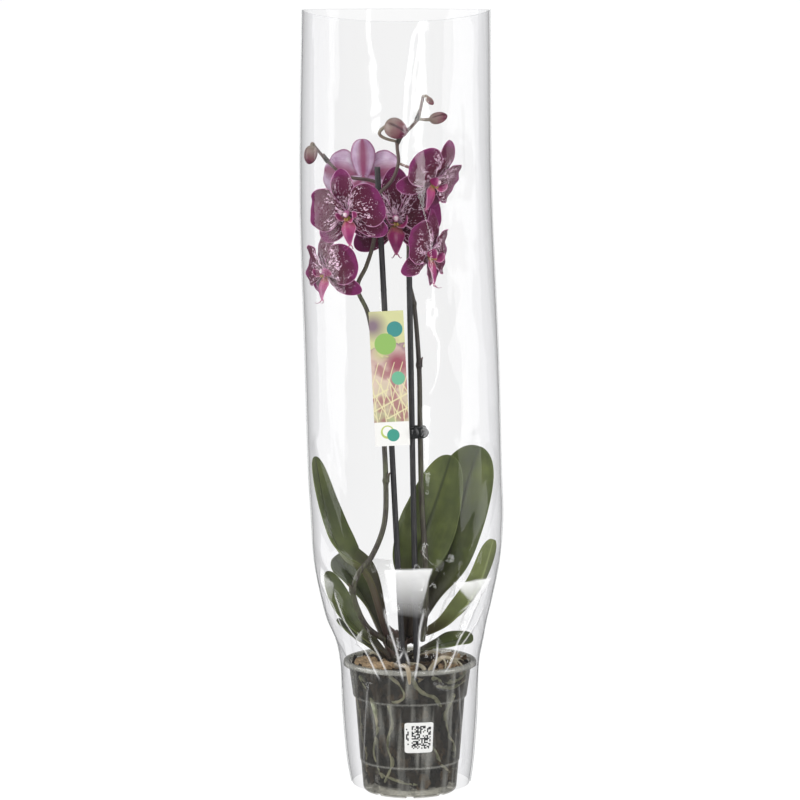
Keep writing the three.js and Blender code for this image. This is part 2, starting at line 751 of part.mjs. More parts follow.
// ---------------------------------------------------------------- film sleeve
// Half-width, middle and half-depth of the sleeve at each of its heights. It is snug round the
// pot, swells over the leaves and leans a little towards its mouth.
const snug = rimRadius + sleeveSlack;
const sleeveSections = [
  { height: sleeveFoot, half: wallRadius(0) + 11, middle: 1, depth: wallRadius(0) + 12 },
  { height: sleeveFoot + 20, half: wallRadius(20) + 12.5, middle: 0.5, depth: wallRadius(20) + 15 },
  { height: potHeight - 45, half: snug - 1.5, middle: 0, depth: snug + 3 },
  { height: potHeight - 3, half: snug, middle: -0.3, depth: snug + 5 },
  { height: potHeight + 18, half: snug + 4, middle: -0.5, depth: snug + 5 },
  { height: potHeight + 36, half: snug + 9.5, middle: -2.7, depth: snug + 2 },
  { height: potHeight + 54, half: snug + 14, middle: -3, depth: sleeveDepth },
  { height: potHeight + 90, half: snug + 21, middle: -2.9, depth: sleeveDepth },
  { height: potHeight + 130, half: sleeveBellyHalfWidth - 0.5, middle: -2.7, depth: sleeveDepth },
  { height: sleeveBellyHeight, half: sleeveBellyHalfWidth, middle: -4.5, depth: sleeveDepth },
  { height: 400, half: sleeveBellyHalfWidth, middle: -7.6, depth: sleeveDepth },
  { height: 540, half: mix(sleeveBellyHalfWidth, sleeveMouthHalfWidth, 0.4), middle: -12.6, depth: sleeveDepth },
  { height: sleeveHeight, half: sleeveMouthHalfWidth, middle: sleeveMouthLean, depth: sleeveDepth - 3 },
];

// One film panel: half an ellipse at every height, from weld to weld.
function sleevePanel(facing) {
  const weld = (gap + sleeveFilm) / 2;
  const at = (across, along) => {
    const place = along * (sleeveSections.length - 1);
    const lower = sleeveSections[Math.min(Math.floor(place), sleeveSections.length - 2)];
    const upper = sleeveSections[sleeveSections.indexOf(lower) + 1];
    const share = place - sleeveSections.indexOf(lower);
    const pick = (key) => mix(lower[key], upper[key], share);
    const angle = facing * (1 - across) * Math.PI;
    const x = pick('half') * Math.cos(angle);
    const y = pick('depth') * Math.sin(angle) + facing * weld;
    const point = vec(pick('middle') + x, y, pick('height'));
    const normal = vec(Math.cos(angle), Math.sin(angle), 0);
    return { point, normal: normal.multiplyScalar(facing < 0 ? 1 : -1) };
  };
  return thickSheet(at, sleeveFilm, 14, sleeveSections.length - 1);
}

// ---------------------------------------------------------------- assembly
addPiece('pot', potGeometry(), finish.pot);
addPiece('bark_mix', mixGeometry(), finish.bark);
for (const [name, chip] of Object.entries(chips)) {
  const geometry = chipGeometry({ ...chip, middle: aboveMix(...chip.middle) });
  addPiece(name, geometry, finish.chip);
}
addPiece('crown', crownGeometry(), finish.stem);
for (const [name, leaf] of Object.entries(leaves)) addPiece(name, leafGeometry(leaf), finish.leaf);
addPiece('stake_left', tube(leftStake.curve, stakeRadius, 1, 10), finish.stake);
addPiece('stake_right', tube(rightStake.curve, stakeRadius, 1, 10), finish.stake);
const leftNodes = [leftSpikePoints[3], leftSpikePoints[7], leftSpikePoints[10], leftSpikePoints[17]];
const rightNodes = [rightSpikePoints[2], rightSpikePoints[5], rightSpikePoints[6]];
addPiece('flower_spike_left', spikeGeometry(leftSpike, 46, leftNodes), finish.stem);
addPiece('flower_spike_right', spikeGeometry(rightSpike, 34, rightNodes), finish.stem);
for (const [name, bud] of Object.entries(buds)) addPiece(name, budGeometry(bud), finish.bud);
for (const [name, flower] of Object.entries(flowers)) addFlower(name, flower);
addPiece('root_over_rim', rimRootGeometry(), finish.root);
addPiece('root_arch', archRootGeometry(), finish.root);
addPiece('clip_low', clipGeometry(rightStake, besideStake(rightStake, lowClipRise, 25, 1.6)), finish.clip);
addPiece('clip_high', clipGeometry(leftStake, besideStake(leftStake, highClipRise, 200)), finish.clip);
addTag();
addPiece('pot_label', labelGeometry(), finish.label);
addPiece('sleeve_front', sleevePanel(-1), finish.film);
addPiece('sleeve_back', sleevePanel(1), finish.film);

export default orchid;
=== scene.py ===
"""Looks of a potted moth orchid in a film sleeve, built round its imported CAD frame.

Lengths are metres, +Z is up, -Y is the front and the origin is the middle of the pot's foot.
Points of the plant are written in millimetres as (x, y, rise above the bark mix), as it grew.
"""
import math
from functools import partial

import bmesh
import bpy
import numpy as np
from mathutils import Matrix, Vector


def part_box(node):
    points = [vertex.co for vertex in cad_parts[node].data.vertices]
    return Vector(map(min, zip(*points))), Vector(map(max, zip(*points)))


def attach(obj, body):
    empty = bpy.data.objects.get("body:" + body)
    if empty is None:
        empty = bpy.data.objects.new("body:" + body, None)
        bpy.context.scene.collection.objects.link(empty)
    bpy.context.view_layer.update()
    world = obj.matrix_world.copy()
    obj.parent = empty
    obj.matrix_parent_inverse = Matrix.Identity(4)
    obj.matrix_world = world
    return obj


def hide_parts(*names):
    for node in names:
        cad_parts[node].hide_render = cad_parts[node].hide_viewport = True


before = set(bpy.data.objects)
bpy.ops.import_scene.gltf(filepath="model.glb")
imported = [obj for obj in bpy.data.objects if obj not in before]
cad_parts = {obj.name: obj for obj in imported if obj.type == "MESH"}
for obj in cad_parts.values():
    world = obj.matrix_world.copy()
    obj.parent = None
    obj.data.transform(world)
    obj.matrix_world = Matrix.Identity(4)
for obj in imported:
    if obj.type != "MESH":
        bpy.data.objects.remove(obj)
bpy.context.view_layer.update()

# ---------------------------------------------------------------- sizes
MM = 0.001
GAP = 0.3 * MM  # air that the CAD keeps between touching pieces

POT_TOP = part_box("pot")[1].z
RIM_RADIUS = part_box("pot")[1].x
MIX_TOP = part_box("bark_mix")[1].z
RIM_BAND = 4.5 * MM
POT_WALL = 1.0 * MM
# Outside of the pot's wall, (height, radius): foot, two steps and the neck under the rim.
POT_OUTLINE = np.array([(0, 42), (27, 44.3), (28, 45), (86, 49.6), (87, 51.4), (115.5, 55.3)]) * MM
DRAIN_HOLES = 8
DRAIN_WIDTH = 9 * MM
DRAIN_HEIGHT = 4 * MM

STAKE_RADIUS = 2.75 * MM
SPIKE_NODE_RADIUS = 3.3 * MM
LEAF_THICKNESS = 1.8 * MM
PETAL_THICKNESS = 0.7 * MM
ROOT_RADIUS = 2.3 * MM
CARD_THICKNESS = 0.45 * MM
LABEL_THICKNESS = 0.15 * MM
TAG_SIZE = (31, 121)  # millimetres
LABEL_SIZE = (26, 28)
FILM_GAP = 0.4 * MM  # from each panel to the weld plane between them
WAVE_PERIOD = 0.314  # length of one wave of the wave texture at a scale of 1

CAMERA_PLACE = (-0.009, -3.300, 0.761)
CAMERA_PITCH = 7.0  # degrees below the horizon
CAMERA_LENS = 166.7  # millimetres, as is the sensor's width
CAMERA_SENSOR = 36.0

# Each soft light: place, width and height, radiance and the height on the axis that it faces.
SOFTBOXES = {
    "light_left": ((-1.25, -0.18, 0.75), (1.2, 1.7), 3.0, 0.75),
    "light_right": ((1.3, -0.5, 0.8), (0.7, 1.7), 2.6, 0.8),
    "light_front": ((-0.15, -1.5, 1.45), (1.1, 0.7), 4.5, 0.3),
    "light_strip": ((0.62, -1.45, 0.7), (0.12, 1.3), 9.0, 0.5),
    "light_top": ((0.1, 0.3, 1.9), (1.1, 0.9), 2.2, 0.36),
}
# How bright the room and the floor are: to the camera, then as light on the object or in its mirrors.
ROOM_SEEN, ROOM_GLOW = 1.0, 0.3
FLOOR_SEEN, FLOOR_MIRRORED = 0.97, 0.25
FLOOR_HALF = 80.0


# ---------------------------------------------------------------- small helpers
def unit(vectors):
    """Vectors divided by their own lengths."""
    return vectors / np.linalg.norm(vectors, axis=-1, keepdims=True)


def mix(start, end, share):
    """Straight blend from start to end."""
    return start + (end - start) * share


def smooth(value, low, high):
    """0 up to low, 1 from high on, and an S between them."""
    share = np.clip((value - low) / (high - low), 0, 1)
    return share * share * (3 - 2 * share)


def above_mix(points):
    """Plant points, (x, y, rise) in millimetres, in metres of the part's frame."""
    return np.array(points, float) * MM + (0, 0, MIX_TOP)


def cad_box(name):
    """The lowest and the highest corner of a CAD node's box, and its middle."""
    low, high = (np.array(corner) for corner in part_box(name))
    return low, high, (low + high) / 2


def spokes(angle):
    """Level unit vectors that point away from the upright axis, at angles from +X to +Y."""
    return np.stack([np.cos(angle), np.sin(angle), 0 * angle], -1)


def about_axis(angle, reach, level):
    """Points that lie a reach from the upright axis, at an angle from +X to +Y and a level."""
    angle, reach, level = np.broadcast_arrays(angle, reach, level)
    return np.stack([reach * np.cos(angle), reach * np.sin(angle), level], -1)


def curve_through(points, share):
    """Centripetal Catmull-Rom curve, at shares from 0 to 1 with the same share for every span."""
    points = np.asarray(points, float)
    padded = np.vstack([2 * points[0] - points[1], points, 2 * points[-1] - points[-2]])
    spans = len(points) - 1
    place = np.clip(share, 0, 1) * spans
    first = np.minimum(place.astype(int), spans - 1)
    t = (place - first)[:, None]
    p0, p1, p2, p3 = (padded[first + step] for step in range(4))
    pairs = ((p0, p1), (p1, p2), (p2, p3))
    d0, d1, d2 = (np.linalg.norm(b - a, axis=1, keepdims=True) ** 0.5 for a, b in pairs)
    leave = ((p1 - p0) / d0 - (p2 - p0) / (d0 + d1) + (p2 - p1) / d1) * d1
    arrive = ((p2 - p1) / d1 - (p3 - p1) / (d1 + d2) + (p3 - p2) / d2) * d1
    square = 3 * (p2 - p1) - 2 * leave - arrive
    cube = 2 * (p1 - p2) + leave + arrive
    return p1 + t * leave + t**2 * square + t**3 * cube


def route(points, count):
    """Evenly spaced points along the curve through the given ones."""
    fine = curve_through(points, np.linspace(0, 1, count * 8))
    reach = np.append(0, np.cumsum(np.linalg.norm(np.diff(fine, axis=0), axis=1)))
    places = np.linspace(0, reach[-1], count)
    return np.stack([np.interp(places, reach, fine[:, axis]) for axis in range(3)], axis=1)


def bezier(controls, share):
    """Bezier curve: its control points are blended in pairs until one is left."""
    level = np.asarray(controls, float)[:, None, :]
    while len(level) > 1:
        level = mix(level[:-1], level[1:], share[:, None])
    return level[0]


def waves(first, second, seed, count=5, pitch=1.0):
    """Smooth random relief from -1 to 1: a sum of plane waves with random headings and phases."""
    draw = np.random.default_rng(seed)
    heading = draw.uniform(0, 2 * np.pi, count)
    length = pitch * draw.uniform(0.6, 1.7, count)
    phase = draw.uniform(0, 2 * np.pi, count)
    turns = (first[..., None] * np.cos(heading) + second[..., None] * np.sin(heading)) / length
    return np.sin(2 * np.pi * turns + phase).sum(-1) / count


# ---------------------------------------------------------------- surfaces
def patch(points, skin=0, uv=None, **values):
    """A grid surface, or several in one array: ... x rows x columns x 3 points.

    Its faces point to columns-direction x rows-direction. UVs run from 0 to 1 over the grid, skin
    is its material's number and values are numbers held by its points.
    """
    rows, columns = points.shape[-3] - 1, points.shape[-2] - 1
    corner = np.arange(rows)[:, None] * (columns + 1) + np.arange(columns)
    quad = np.stack([corner, corner + 1, corner + columns + 2, corner + columns + 1], -1).reshape(-1, 4)
    copies = math.prod(points.shape[:-3])
    size = (rows + 1) * (columns + 1)
    if uv is None:
        uv = np.stack(np.meshgrid(np.linspace(0, 1, columns + 1), np.linspace(0, 1, rows + 1)), -1)
    faces = (np.arange(copies)[:, None, None] * size + quad).reshape(-1, 4)
    return {
        "points": points.reshape(-1, 3),
        "faces": faces,
        "uv": np.tile(uv.reshape(-1, 2)[quad].reshape(-1, 2), (copies, 1)),
        "skin": np.full(len(faces), skin),
        "values": {name: np.broadcast_to(held, points.shape[:-1]).ravel() for name, held in values.items()},
    }


def two_skins(points, normals, thickness, skins=(0, 1), **values):
    """A closed sheet: both skins lie half a thickness from the points, joined by strips all round."""
    half = normals * np.asarray(thickness)[..., None] / 2
    top, bottom = points + half, points - half
    uv = np.stack(np.meshgrid(np.linspace(0, 1, points.shape[1]), np.linspace(0, 1, points.shape[0])), -1)
    held = {name: np.broadcast_to(value, points.shape[:2]) for name, value in values.items()}
    flipped = {name: value[:, ::-1] for name, value in held.items()}
    made = [
        patch(top, skins[0], uv, **held),
        patch(bottom[:, ::-1], skins[1], uv[:, ::-1], **flipped),
    ]
    edges = (
        (bottom, top, np.s_[0, :]),
        (top, bottom, np.s_[-1, :]),
        (top, bottom, np.s_[:, 0]),
        (bottom, top, np.s_[:, -1]),
    )
    for first, second, edge in edges:
        strip = np.stack([first[edge], second[edge]])
        rim = {name: np.stack([value[edge]] * 2) for name, value in held.items()}
        made.append(patch(strip, skins[0], np.stack([uv[edge]] * 2), **rim))
    return made


def swept(path, radii, sides=14, reference=(0, -1, 0), blunt=1.0, **options):
    """A round rod: circles square to the path, each end closed by a dome of blunt radii's depth.

    Each circle starts at the side square to both the path and the reference direction.
    """
    radii = np.broadcast_to(radii, len(path)).astype(float)
    ahead = unit(np.gradient(path, axis=0))
    turn = np.linspace(0, np.pi / 2, 5)
    start = path[0] - ahead[0] * blunt * radii[0] * np.cos(turn[:-1, None])
    end = path[-1] + ahead[-1] * blunt * radii[-1] * np.sin(turn[1:, None])
    centre = np.vstack([start, path, end])
    ahead = np.vstack([np.repeat(ahead[:1], 4, 0), ahead, np.repeat(ahead[-1:], 4, 0)])
    radius = np.concatenate([radii[0] * np.sin(turn[:-1]), radii, radii[-1] * np.cos(turn[1:])])
    side = unit(np.cross(reference, ahead))
    up = np.cross(ahead, side)
    angle = np.linspace(0, 2 * np.pi, sides + 1)[None, :, None]
    spoke = side[:, None] * np.cos(angle) + up[:, None] * np.sin(angle)
    return patch(centre[:, None] + spoke * radius[:, None, None], **options)


def turned(profile, sides, centre=(0, 0), **options):
    """A profile of (radius, height) pairs, listed upwards on its outside, turned about an upright axis."""
    radius, height = np.array(profile, float).T
    angle = np.linspace(0, 2 * np.pi, sides + 1)
    return patch(about_axis(angle, radius[:, None], height[:, None]) + (*centre, 0), **options)


def rounded(profile, radius, steps=4):
    """A profile whose inner corners are replaced by short parabolas that start a radius away."""
    profile = np.array(profile, float)
    made = [profile[:1]]
    share = np.linspace(0, 1, steps + 1)
    for before, corner, after in zip(profile, profile[1:], profile[2:]):
        reach = [min(radius, np.linalg.norm(end - corner) * 0.45) for end in (before, after)]
        start = corner + unit(before - corner) * reach[0]
        stop = corner + unit(after - corner) * reach[1]
        made.append(bezier([start, corner, stop], share))
    return np.vstack([*made, profile[-1:]])


def piece(name, patches, materials, nodes=(), sharp=None):
    """Joins surfaces into one object at the origin, welds them, and has it ride and stand for nodes.

    Edges that turn more than the sharp angle in degrees are shaded sharp.
    """
    starts = np.cumsum([0, *(len(each["points"]) for each in patches)])
    faces = np.concatenate([each["faces"] + start for each, start in zip(patches, starts)])
    mesh = bpy.data.meshes.new(name)
    mesh.from_pydata(np.concatenate([each["points"] for each in patches]), [], faces.tolist())
    skins = np.concatenate([each["skin"] for each in patches])
    mesh.polygons.foreach_set("material_index", skins.astype(np.int32))
    layer = mesh.uv_layers.new(name="surface")
    layer.data.foreach_set("uv", np.concatenate([each["uv"] for each in patches]).ravel())
    for key in patches[0]["values"]:
        held = mesh.attributes.new(key, "FLOAT", "POINT")
        held.data.foreach_set("value", np.concatenate([each["values"][key] for each in patches]))
    welded = bmesh.new()
    welded.from_mesh(mesh)
    bmesh.ops.remove_doubles(welded, verts=welded.verts, dist=MM * 0.002)
    welded.to_mesh(mesh)
    welded.free()
    mesh.polygons.foreach_set("use_smooth", np.ones(len(mesh.polygons), bool))
    if sharp is not None:
        mesh.set_sharp_from_angle(angle=math.radians(sharp))
    for finish in materials:
        mesh.materials.append(finish)
    made = bpy.data.objects.new(name, mesh)
    bpy.context.scene.collection.objects.link(made)
    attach(made, "root")
    if nodes:
        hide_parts(*nodes)
    return made


# ---------------------------------------------------------------- camera and studio
def make_camera():
    """The camera stands in front, a little above the object's top, and looks slightly down."""
    data = bpy.data.cameras.new("camera")
    data.lens = CAMERA_LENS
    data.sensor_width = CAMERA_SENSOR
    data.clip_end = 200
    camera = bpy.data.objects.new("camera", data)
    camera.location = CAMERA_PLACE
    camera.rotation_euler = (math.radians(90 - CAMERA_PITCH), 0, 0)
    bpy.context.scene.collection.objects.link(camera)
    bpy.context.scene.camera = camera


def softbox(name, place, size, radiance, aim):
    """A rectangular light, width by height, that faces a height on the axis and isn't seen itself."""
    data = bpy.data.lights.new(name, "AREA")
    data.shape = "RECTANGLE"
    data.size, data.size_y = size
    data.energy = radiance * math.pi * size[0] * size[1]
    light = bpy.data.objects.new(name, data)
    light.location = place
    light.rotation_euler = (Vector((0, 0, aim)) - Vector(place)).to_track_quat("-Z", "Y").to_euler()
    light.visible_camera = False
    bpy.context.scene.collection.objects.link(light)


def make_studio():
    """White sweep of floor, a pale room and the soft lights."""
    for name, light in SOFTBOXES.items():
        softbox(name, *light)

    world = bpy.data.worlds.new("studio")
    bpy.context.scene.world = world
    world.use_nodes = True
    tree = world.node_tree
    tree.nodes.clear()
    seen = node(tree, "ShaderNodeLightPath").outputs["Is Camera Ray"]
    strength = node(tree, "ShaderNodeMapRange", {"Value": seen, "To Min": ROOM_GLOW, "To Max": ROOM_SEEN})
    room = node(tree, "ShaderNodeBackground", {"Color": "#ffffff", "Strength": strength})
    node(tree, "ShaderNodeOutputWorld", {"Surface": room})

    mesh = bpy.data.meshes.new("floor")
    square = [(x * FLOOR_HALF, y * FLOOR_HALF, 0) for x, y in ((-1, -1), (1, -1), (1, 1), (-1, 1))]
    mesh.from_pydata(square, [], [(0, 1, 2, 3)])
    floor = bpy.data.objects.new("floor", mesh)
    bpy.context.scene.collection.objects.link(floor)
    mesh.materials.append(floor_paint())
    bpy.context.scene.view_settings.view_transform = "Standard"
    bpy.context.scene.cycles.transparent_max_bounces = 32


# ---------------------------------------------------------------- material helpers
def colour(code):
    """An sRGB hex code as linear RGBA."""
    parts = [int(code[at:at + 2], 16) / 255 for at in (1, 3, 5)]
    return [part / 12.92 if part <= 0.04045 else ((part + 0.055) / 1.055) ** 2.4 for part in parts] + [1.0]


def per_mm(size):
    """Texture scale that makes a pattern's feature this many millimetres on Object coordinates."""
    return 1 / (size * MM)


def node(tree, kind, inputs=(), stops=(), **settings):
    """Adds one node. Settings are its properties and stops fill its colour ramp.

    An input is a value, a hex colour, a socket, or a node whose first live output is meant.
    """
    made = tree.nodes.new(kind)
    for name, value in settings.items():
        setattr(made, name, value)
    for at, (position, code) in enumerate(stops):
        ramp = made.color_ramp.elements
        stop = ramp[0] if at == 0 else ramp[-1] if at == 1 else ramp.new(position)
        stop.position = position
        stop.color = colour(code)
    live = [socket for socket in made.inputs if socket.enabled]
    for key, value in dict(inputs).items():
        socket = live[key] if isinstance(key, int) else next(each for each in live if each.name == key)
        if isinstance(value, bpy.types.Node):
            value = next(each for each in value.outputs if each.enabled)
        if isinstance(value, bpy.types.NodeSocket):
            tree.links.new(value, socket)
        else:
            socket.default_value = colour(value) if isinstance(value, str) else value
    return made


def material(name):
    """A new material with an empty node tree."""
    made = bpy.data.materials.new(name)
    made.use_nodes = True
    made.node_tree.nodes.clear()
    return made, made.node_tree


def finished(made, shader):
    """The material, with the shader on its surface."""
    node(made.node_tree, "ShaderNodeOutputMaterial", {"Surface": shader})
    return made


def inked(tree, base, ink, value, low, high, start=0.0, end=1.0):
    """A colour with an ink laid over it: the ink's share runs from start to end of itself while the
    value goes from low to high."""
    share = node(tree, "ShaderNodeMapRange", {
        "Value": value, "From Min": low, "From Max": high, "To Min": start, "To Max": end,
    })
    return node(tree, "ShaderNodeMix", {"Factor": share, "A": base, "B": ink}, data_type="RGBA")


# ---------------------------------------------------------------- materials
def floor_paint():
    """Matt white studio sweep, lit from within so that it is white to the horizon, dull in mirrors."""
    made, tree = material("white_sweep")
    mirrored = node(tree, "ShaderNodeLightPath").outputs["Is Glossy Ray"]
    glow = node(tree, "ShaderNodeMapRange", {
        "Value": mirrored, "To Min": FLOOR_SEEN, "To Max": FLOOR_MIRRORED,
    })
    shader = node(tree, "ShaderNodeBsdfPrincipled", {
        "Base Color": "#5c5c5c", "Roughness": 0.9, "Specular IOR Level": 0.1,
        "Emission Color": "#ffffff", "Emission Strength": glow,
    })
    return finished(made, shader)


def clear_polypropylene():
    """Injection-moulded clear polypropylene: smoky, glossy, with faint upright flow marks and milky streaks.

    Light goes straight through, more of it where the wall faces the eye, and the skin mirrors the room.
    Its upright milky streaks and the pale bands at the foot, the two steps and under the rim are partly
    milky plastic and partly painted highlight.
    """
    made, tree = material("clear_polypropylene")
    place = node(tree, "ShaderNodeTexCoord").outputs["Object"]
    facing = node(tree, "ShaderNodeLayerWeight", {"Blend": 0.5}).outputs["Facing"]
    tint = node(tree, "ShaderNodeValToRGB", {"Fac": facing}, (
        (0.0, "#f0efeb"), (1.0, "#82807a"), (0.7, "#dcdbd6"),
    ))
    through = node(tree, "ShaderNodeBsdfTransparent", {"Color": tint})
    tall = node(tree, "ShaderNodeMapping", {"Vector": place, "Scale": (1, 1, 0.1)})
    flow = node(tree, "ShaderNodeTexNoise", {"Vector": tall, "Scale": per_mm(8), "Detail": 3.0})
    # Upright milky streaks: partly flow-mark haze in the plastic, partly painted highlight of the lights.
    streak_milk_and_highlight = node(tree, "ShaderNodeMapRange", {
        "Value": flow, "From Min": 0.5, "From Max": 0.7, "To Min": 0.005, "To Max": 0.25,
    })
    level = node(tree, "ShaderNodeSeparateXYZ", {"Vector": place}).outputs["Z"]
    share = node(tree, "ShaderNodeMath", {0: level, 1: 1 / POT_TOP}, operation="MULTIPLY")
    band = 0.012  # half the height of the pale ring at each step, partly milky plastic and partly painted highlight, as a share of the pot's height
    step_milk_and_highlight = []
    for step in POT_OUTLINE[[2, 4], 0] / POT_TOP:
        step_milk_and_highlight += [(step - band, "#000000"), (step, "#8c8c8c"), (step + band, "#000000")]
    # Pale bands at the foot, the two steps and under the rim: milky where the plastic is thicker, and at the
    # steps and the rim also a painted highlight.
    thick = node(tree, "ShaderNodeValToRGB", {"Fac": share}, (
        (0.0, "#5a5a5a"), (1.0, "#999999"), (0.09, "#000000"), *step_milk_and_highlight, (0.95, "#000000"), (0.965, "#8a8a8a"),
    ))
    # Milkiness of the wall, which also carries the painted highlight of the streaks and bands.
    milky = node(tree, "ShaderNodeMath", {0: thick, 1: 0.9, 2: streak_milk_and_highlight}, operation="MULTIPLY_ADD")
    bump = node(tree, "ShaderNodeBump", {"Height": flow, "Strength": 0.15, "Distance": 0.5 * MM})
    milk = node(tree, "ShaderNodeBsdfPrincipled", {
        "Base Color": "#cfcfc8", "Roughness": 0.2, "IOR": 1.49, "Normal": bump,
    })
    misted = node(tree, "ShaderNodeMixShader", {"Fac": milky, 1: through, 2: milk})
    mirror = node(tree, "ShaderNodeBsdfPrincipled", {
        "Base Color": "#f4f4f4", "Metallic": 1.0, "Roughness": 0.1, "Normal": bump,
    })
    grazing = node(tree, "ShaderNodeMath", {0: facing, 1: 4.5}, operation="POWER")
    gloss = node(tree, "ShaderNodeMath", {0: grazing, 1: 0.5, 2: 0.05}, operation="MULTIPLY_ADD")
    return finished(made, node(tree, "ShaderNodeMixShader", {"Fac": gloss, 1: misted, 2: mirror}))


def packing_film():
    """Cast polypropylene film, 40 microns: clear, slightly grey, with a mirror gloss that is strongest
    where it is seen edge on. Where it is creased or lies in several layers it turns white, partly from the
    layered film and partly as a painted highlight of the lights on its creases and flaps."""
    made, tree = material("packing_film")
    place = node(tree, "ShaderNodeTexCoord").outputs["Object"]
    # The layers value whitens the film: partly its folded layers, partly a painted highlight.
    layers = node(tree, "ShaderNodeAttribute", attribute_name="layers").outputs["Fac"]
    facing = node(tree, "ShaderNodeLayerWeight", {"Blend": 0.5}).outputs["Facing"]
    tint = node(tree, "ShaderNodeValToRGB", {"Fac": facing}, (
        (0.0, "#fafafa"), (1.0, "#b8b8b9"), (0.45, "#f5f5f6"), (0.8, "#e4e4e5"),
    ))
    through = node(tree, "ShaderNodeBsdfTransparent", {"Color": tint})
    ripple = node(tree, "ShaderNodeTexNoise", {"Vector": place, "Scale": per_mm(28), "Detail": 2.0})
    bump = node(tree, "ShaderNodeBump", {"Height": ripple, "Strength": 0.25, "Distance": 1.5 * MM})
    mirror = node(tree, "ShaderNodeBsdfPrincipled", {
        "Base Color": "#ffffff", "Metallic": 1.0, "Roughness": 0.06, "Normal": bump,
    })
    layered_white_and_highlight = node(tree, "ShaderNodeBsdfPrincipled", {
        "Base Color": "#f7f7f7", "Roughness": 0.25, "Normal": bump,
    })
    grazing = node(tree, "ShaderNodeMath", {0: facing, 1: 4.5}, operation="POWER")
    gloss = node(tree, "ShaderNodeMath", {0: grazing, 1: 0.5, 2: 0.024}, operation="MULTIPLY_ADD")
    single = node(tree, "ShaderNodeMixShader", {"Fac": gloss, 1: through, 2: mirror})
    return finished(made, node(tree, "ShaderNodeMixShader", {"Fac": layers, 1: single, 2: layered_white_and_highlight}))


def welded_film():
    """Film melted into a seam or a cut edge: a thin milky bead."""
    made, tree = material("welded_film")
    through = node(tree, "ShaderNodeBsdfTransparent", {"Color": "#e9eaea"})
    bead = node(tree, "ShaderNodeBsdfPrincipled", {"Base Color": "#dfe1e2", "Roughness": 0.15})
    return finished(made, node(tree, "ShaderNodeMixShader", {"Fac": 0.45, 1: through, 2: bead}))


def pine_bark():
    """Composted pine bark: dark, fibrous, damp in places, each flake with a tone of its own."""
    made, tree = material("pine_bark")
    place = node(tree, "ShaderNodeTexCoord").outputs["Object"]
    tone = node(tree, "ShaderNodeAttribute", attribute_name="tone").outputs["Fac"]
    base = node(tree, "ShaderNodeValToRGB", {"Fac": tone}, (
        (0.0, "#16120f"), (1.0, "#dcc19c"), (0.35, "#33291f"), (0.7, "#62503d"), (0.86, "#a18766"),
    ))
    fibre = node(tree, "ShaderNodeMapping", {"Vector": place, "Scale": (1, 1, 3.0)})
    grain = node(tree, "ShaderNodeTexNoise", {
        "Vector": fibre, "Scale": per_mm(2.2), "Detail": 6.0, "Roughness": 0.7,
    })
    worn = node(tree, "ShaderNodeMapRange", {"Value": grain, "From Min": 0.35, "From Max": 0.7})
    shade = node(tree, "ShaderNodeMix", {"Factor": worn, "A": "#3d3630", "B": "#fff8ee"}, data_type="RGBA")
    lift = node(tree, "ShaderNodeMix", {"Factor": 0.85, "A": base, "B": shade},
                data_type="RGBA", blend_type="MULTIPLY")
    bump = node(tree, "ShaderNodeBump", {"Height": grain, "Strength": 0.8, "Distance": 0.9 * MM})
    shader = node(tree, "ShaderNodeBsdfPrincipled", {"Base Color": lift, "Roughness": 0.85, "Normal": bump})
    return finished(made, shader)


def root_velamen():
    """Velamen of orchid roots: a spongy silver-green skin, greener where damp, brown on old stretches."""
    made, tree = material("root_velamen")
    place = node(tree, "ShaderNodeTexCoord").outputs["Object"]
    patches = node(tree, "ShaderNodeTexNoise", {"Vector": place, "Scale": per_mm(9), "Detail": 3.0})
    base = node(tree, "ShaderNodeValToRGB", {"Fac": patches}, (
        (0.3, "#6f7355"), (0.72, "#cdc3ad"), (0.45, "#949880"), (0.58, "#b3b39c"),
    ))
    tone = node(tree, "ShaderNodeAttribute", attribute_name="tone").outputs["Fac"]
    shade = node(tree, "ShaderNodeMix", {"Factor": tone, "A": base, "B": "#a98c72"}, data_type="RGBA")
    sponge = node(tree, "ShaderNodeTexNoise", {"Vector": place, "Scale": per_mm(0.8), "Detail": 3.0})
    bump = node(tree, "ShaderNodeBump", {"Height": sponge, "Strength": 0.5, "Distance": 0.25 * MM})
    shader = node(tree, "ShaderNodeBsdfPrincipled", {
        "Base Color": shade, "Roughness": 0.7, "Normal": bump, "Sheen Weight": 0.2,
    })
    return finished(made, shader)


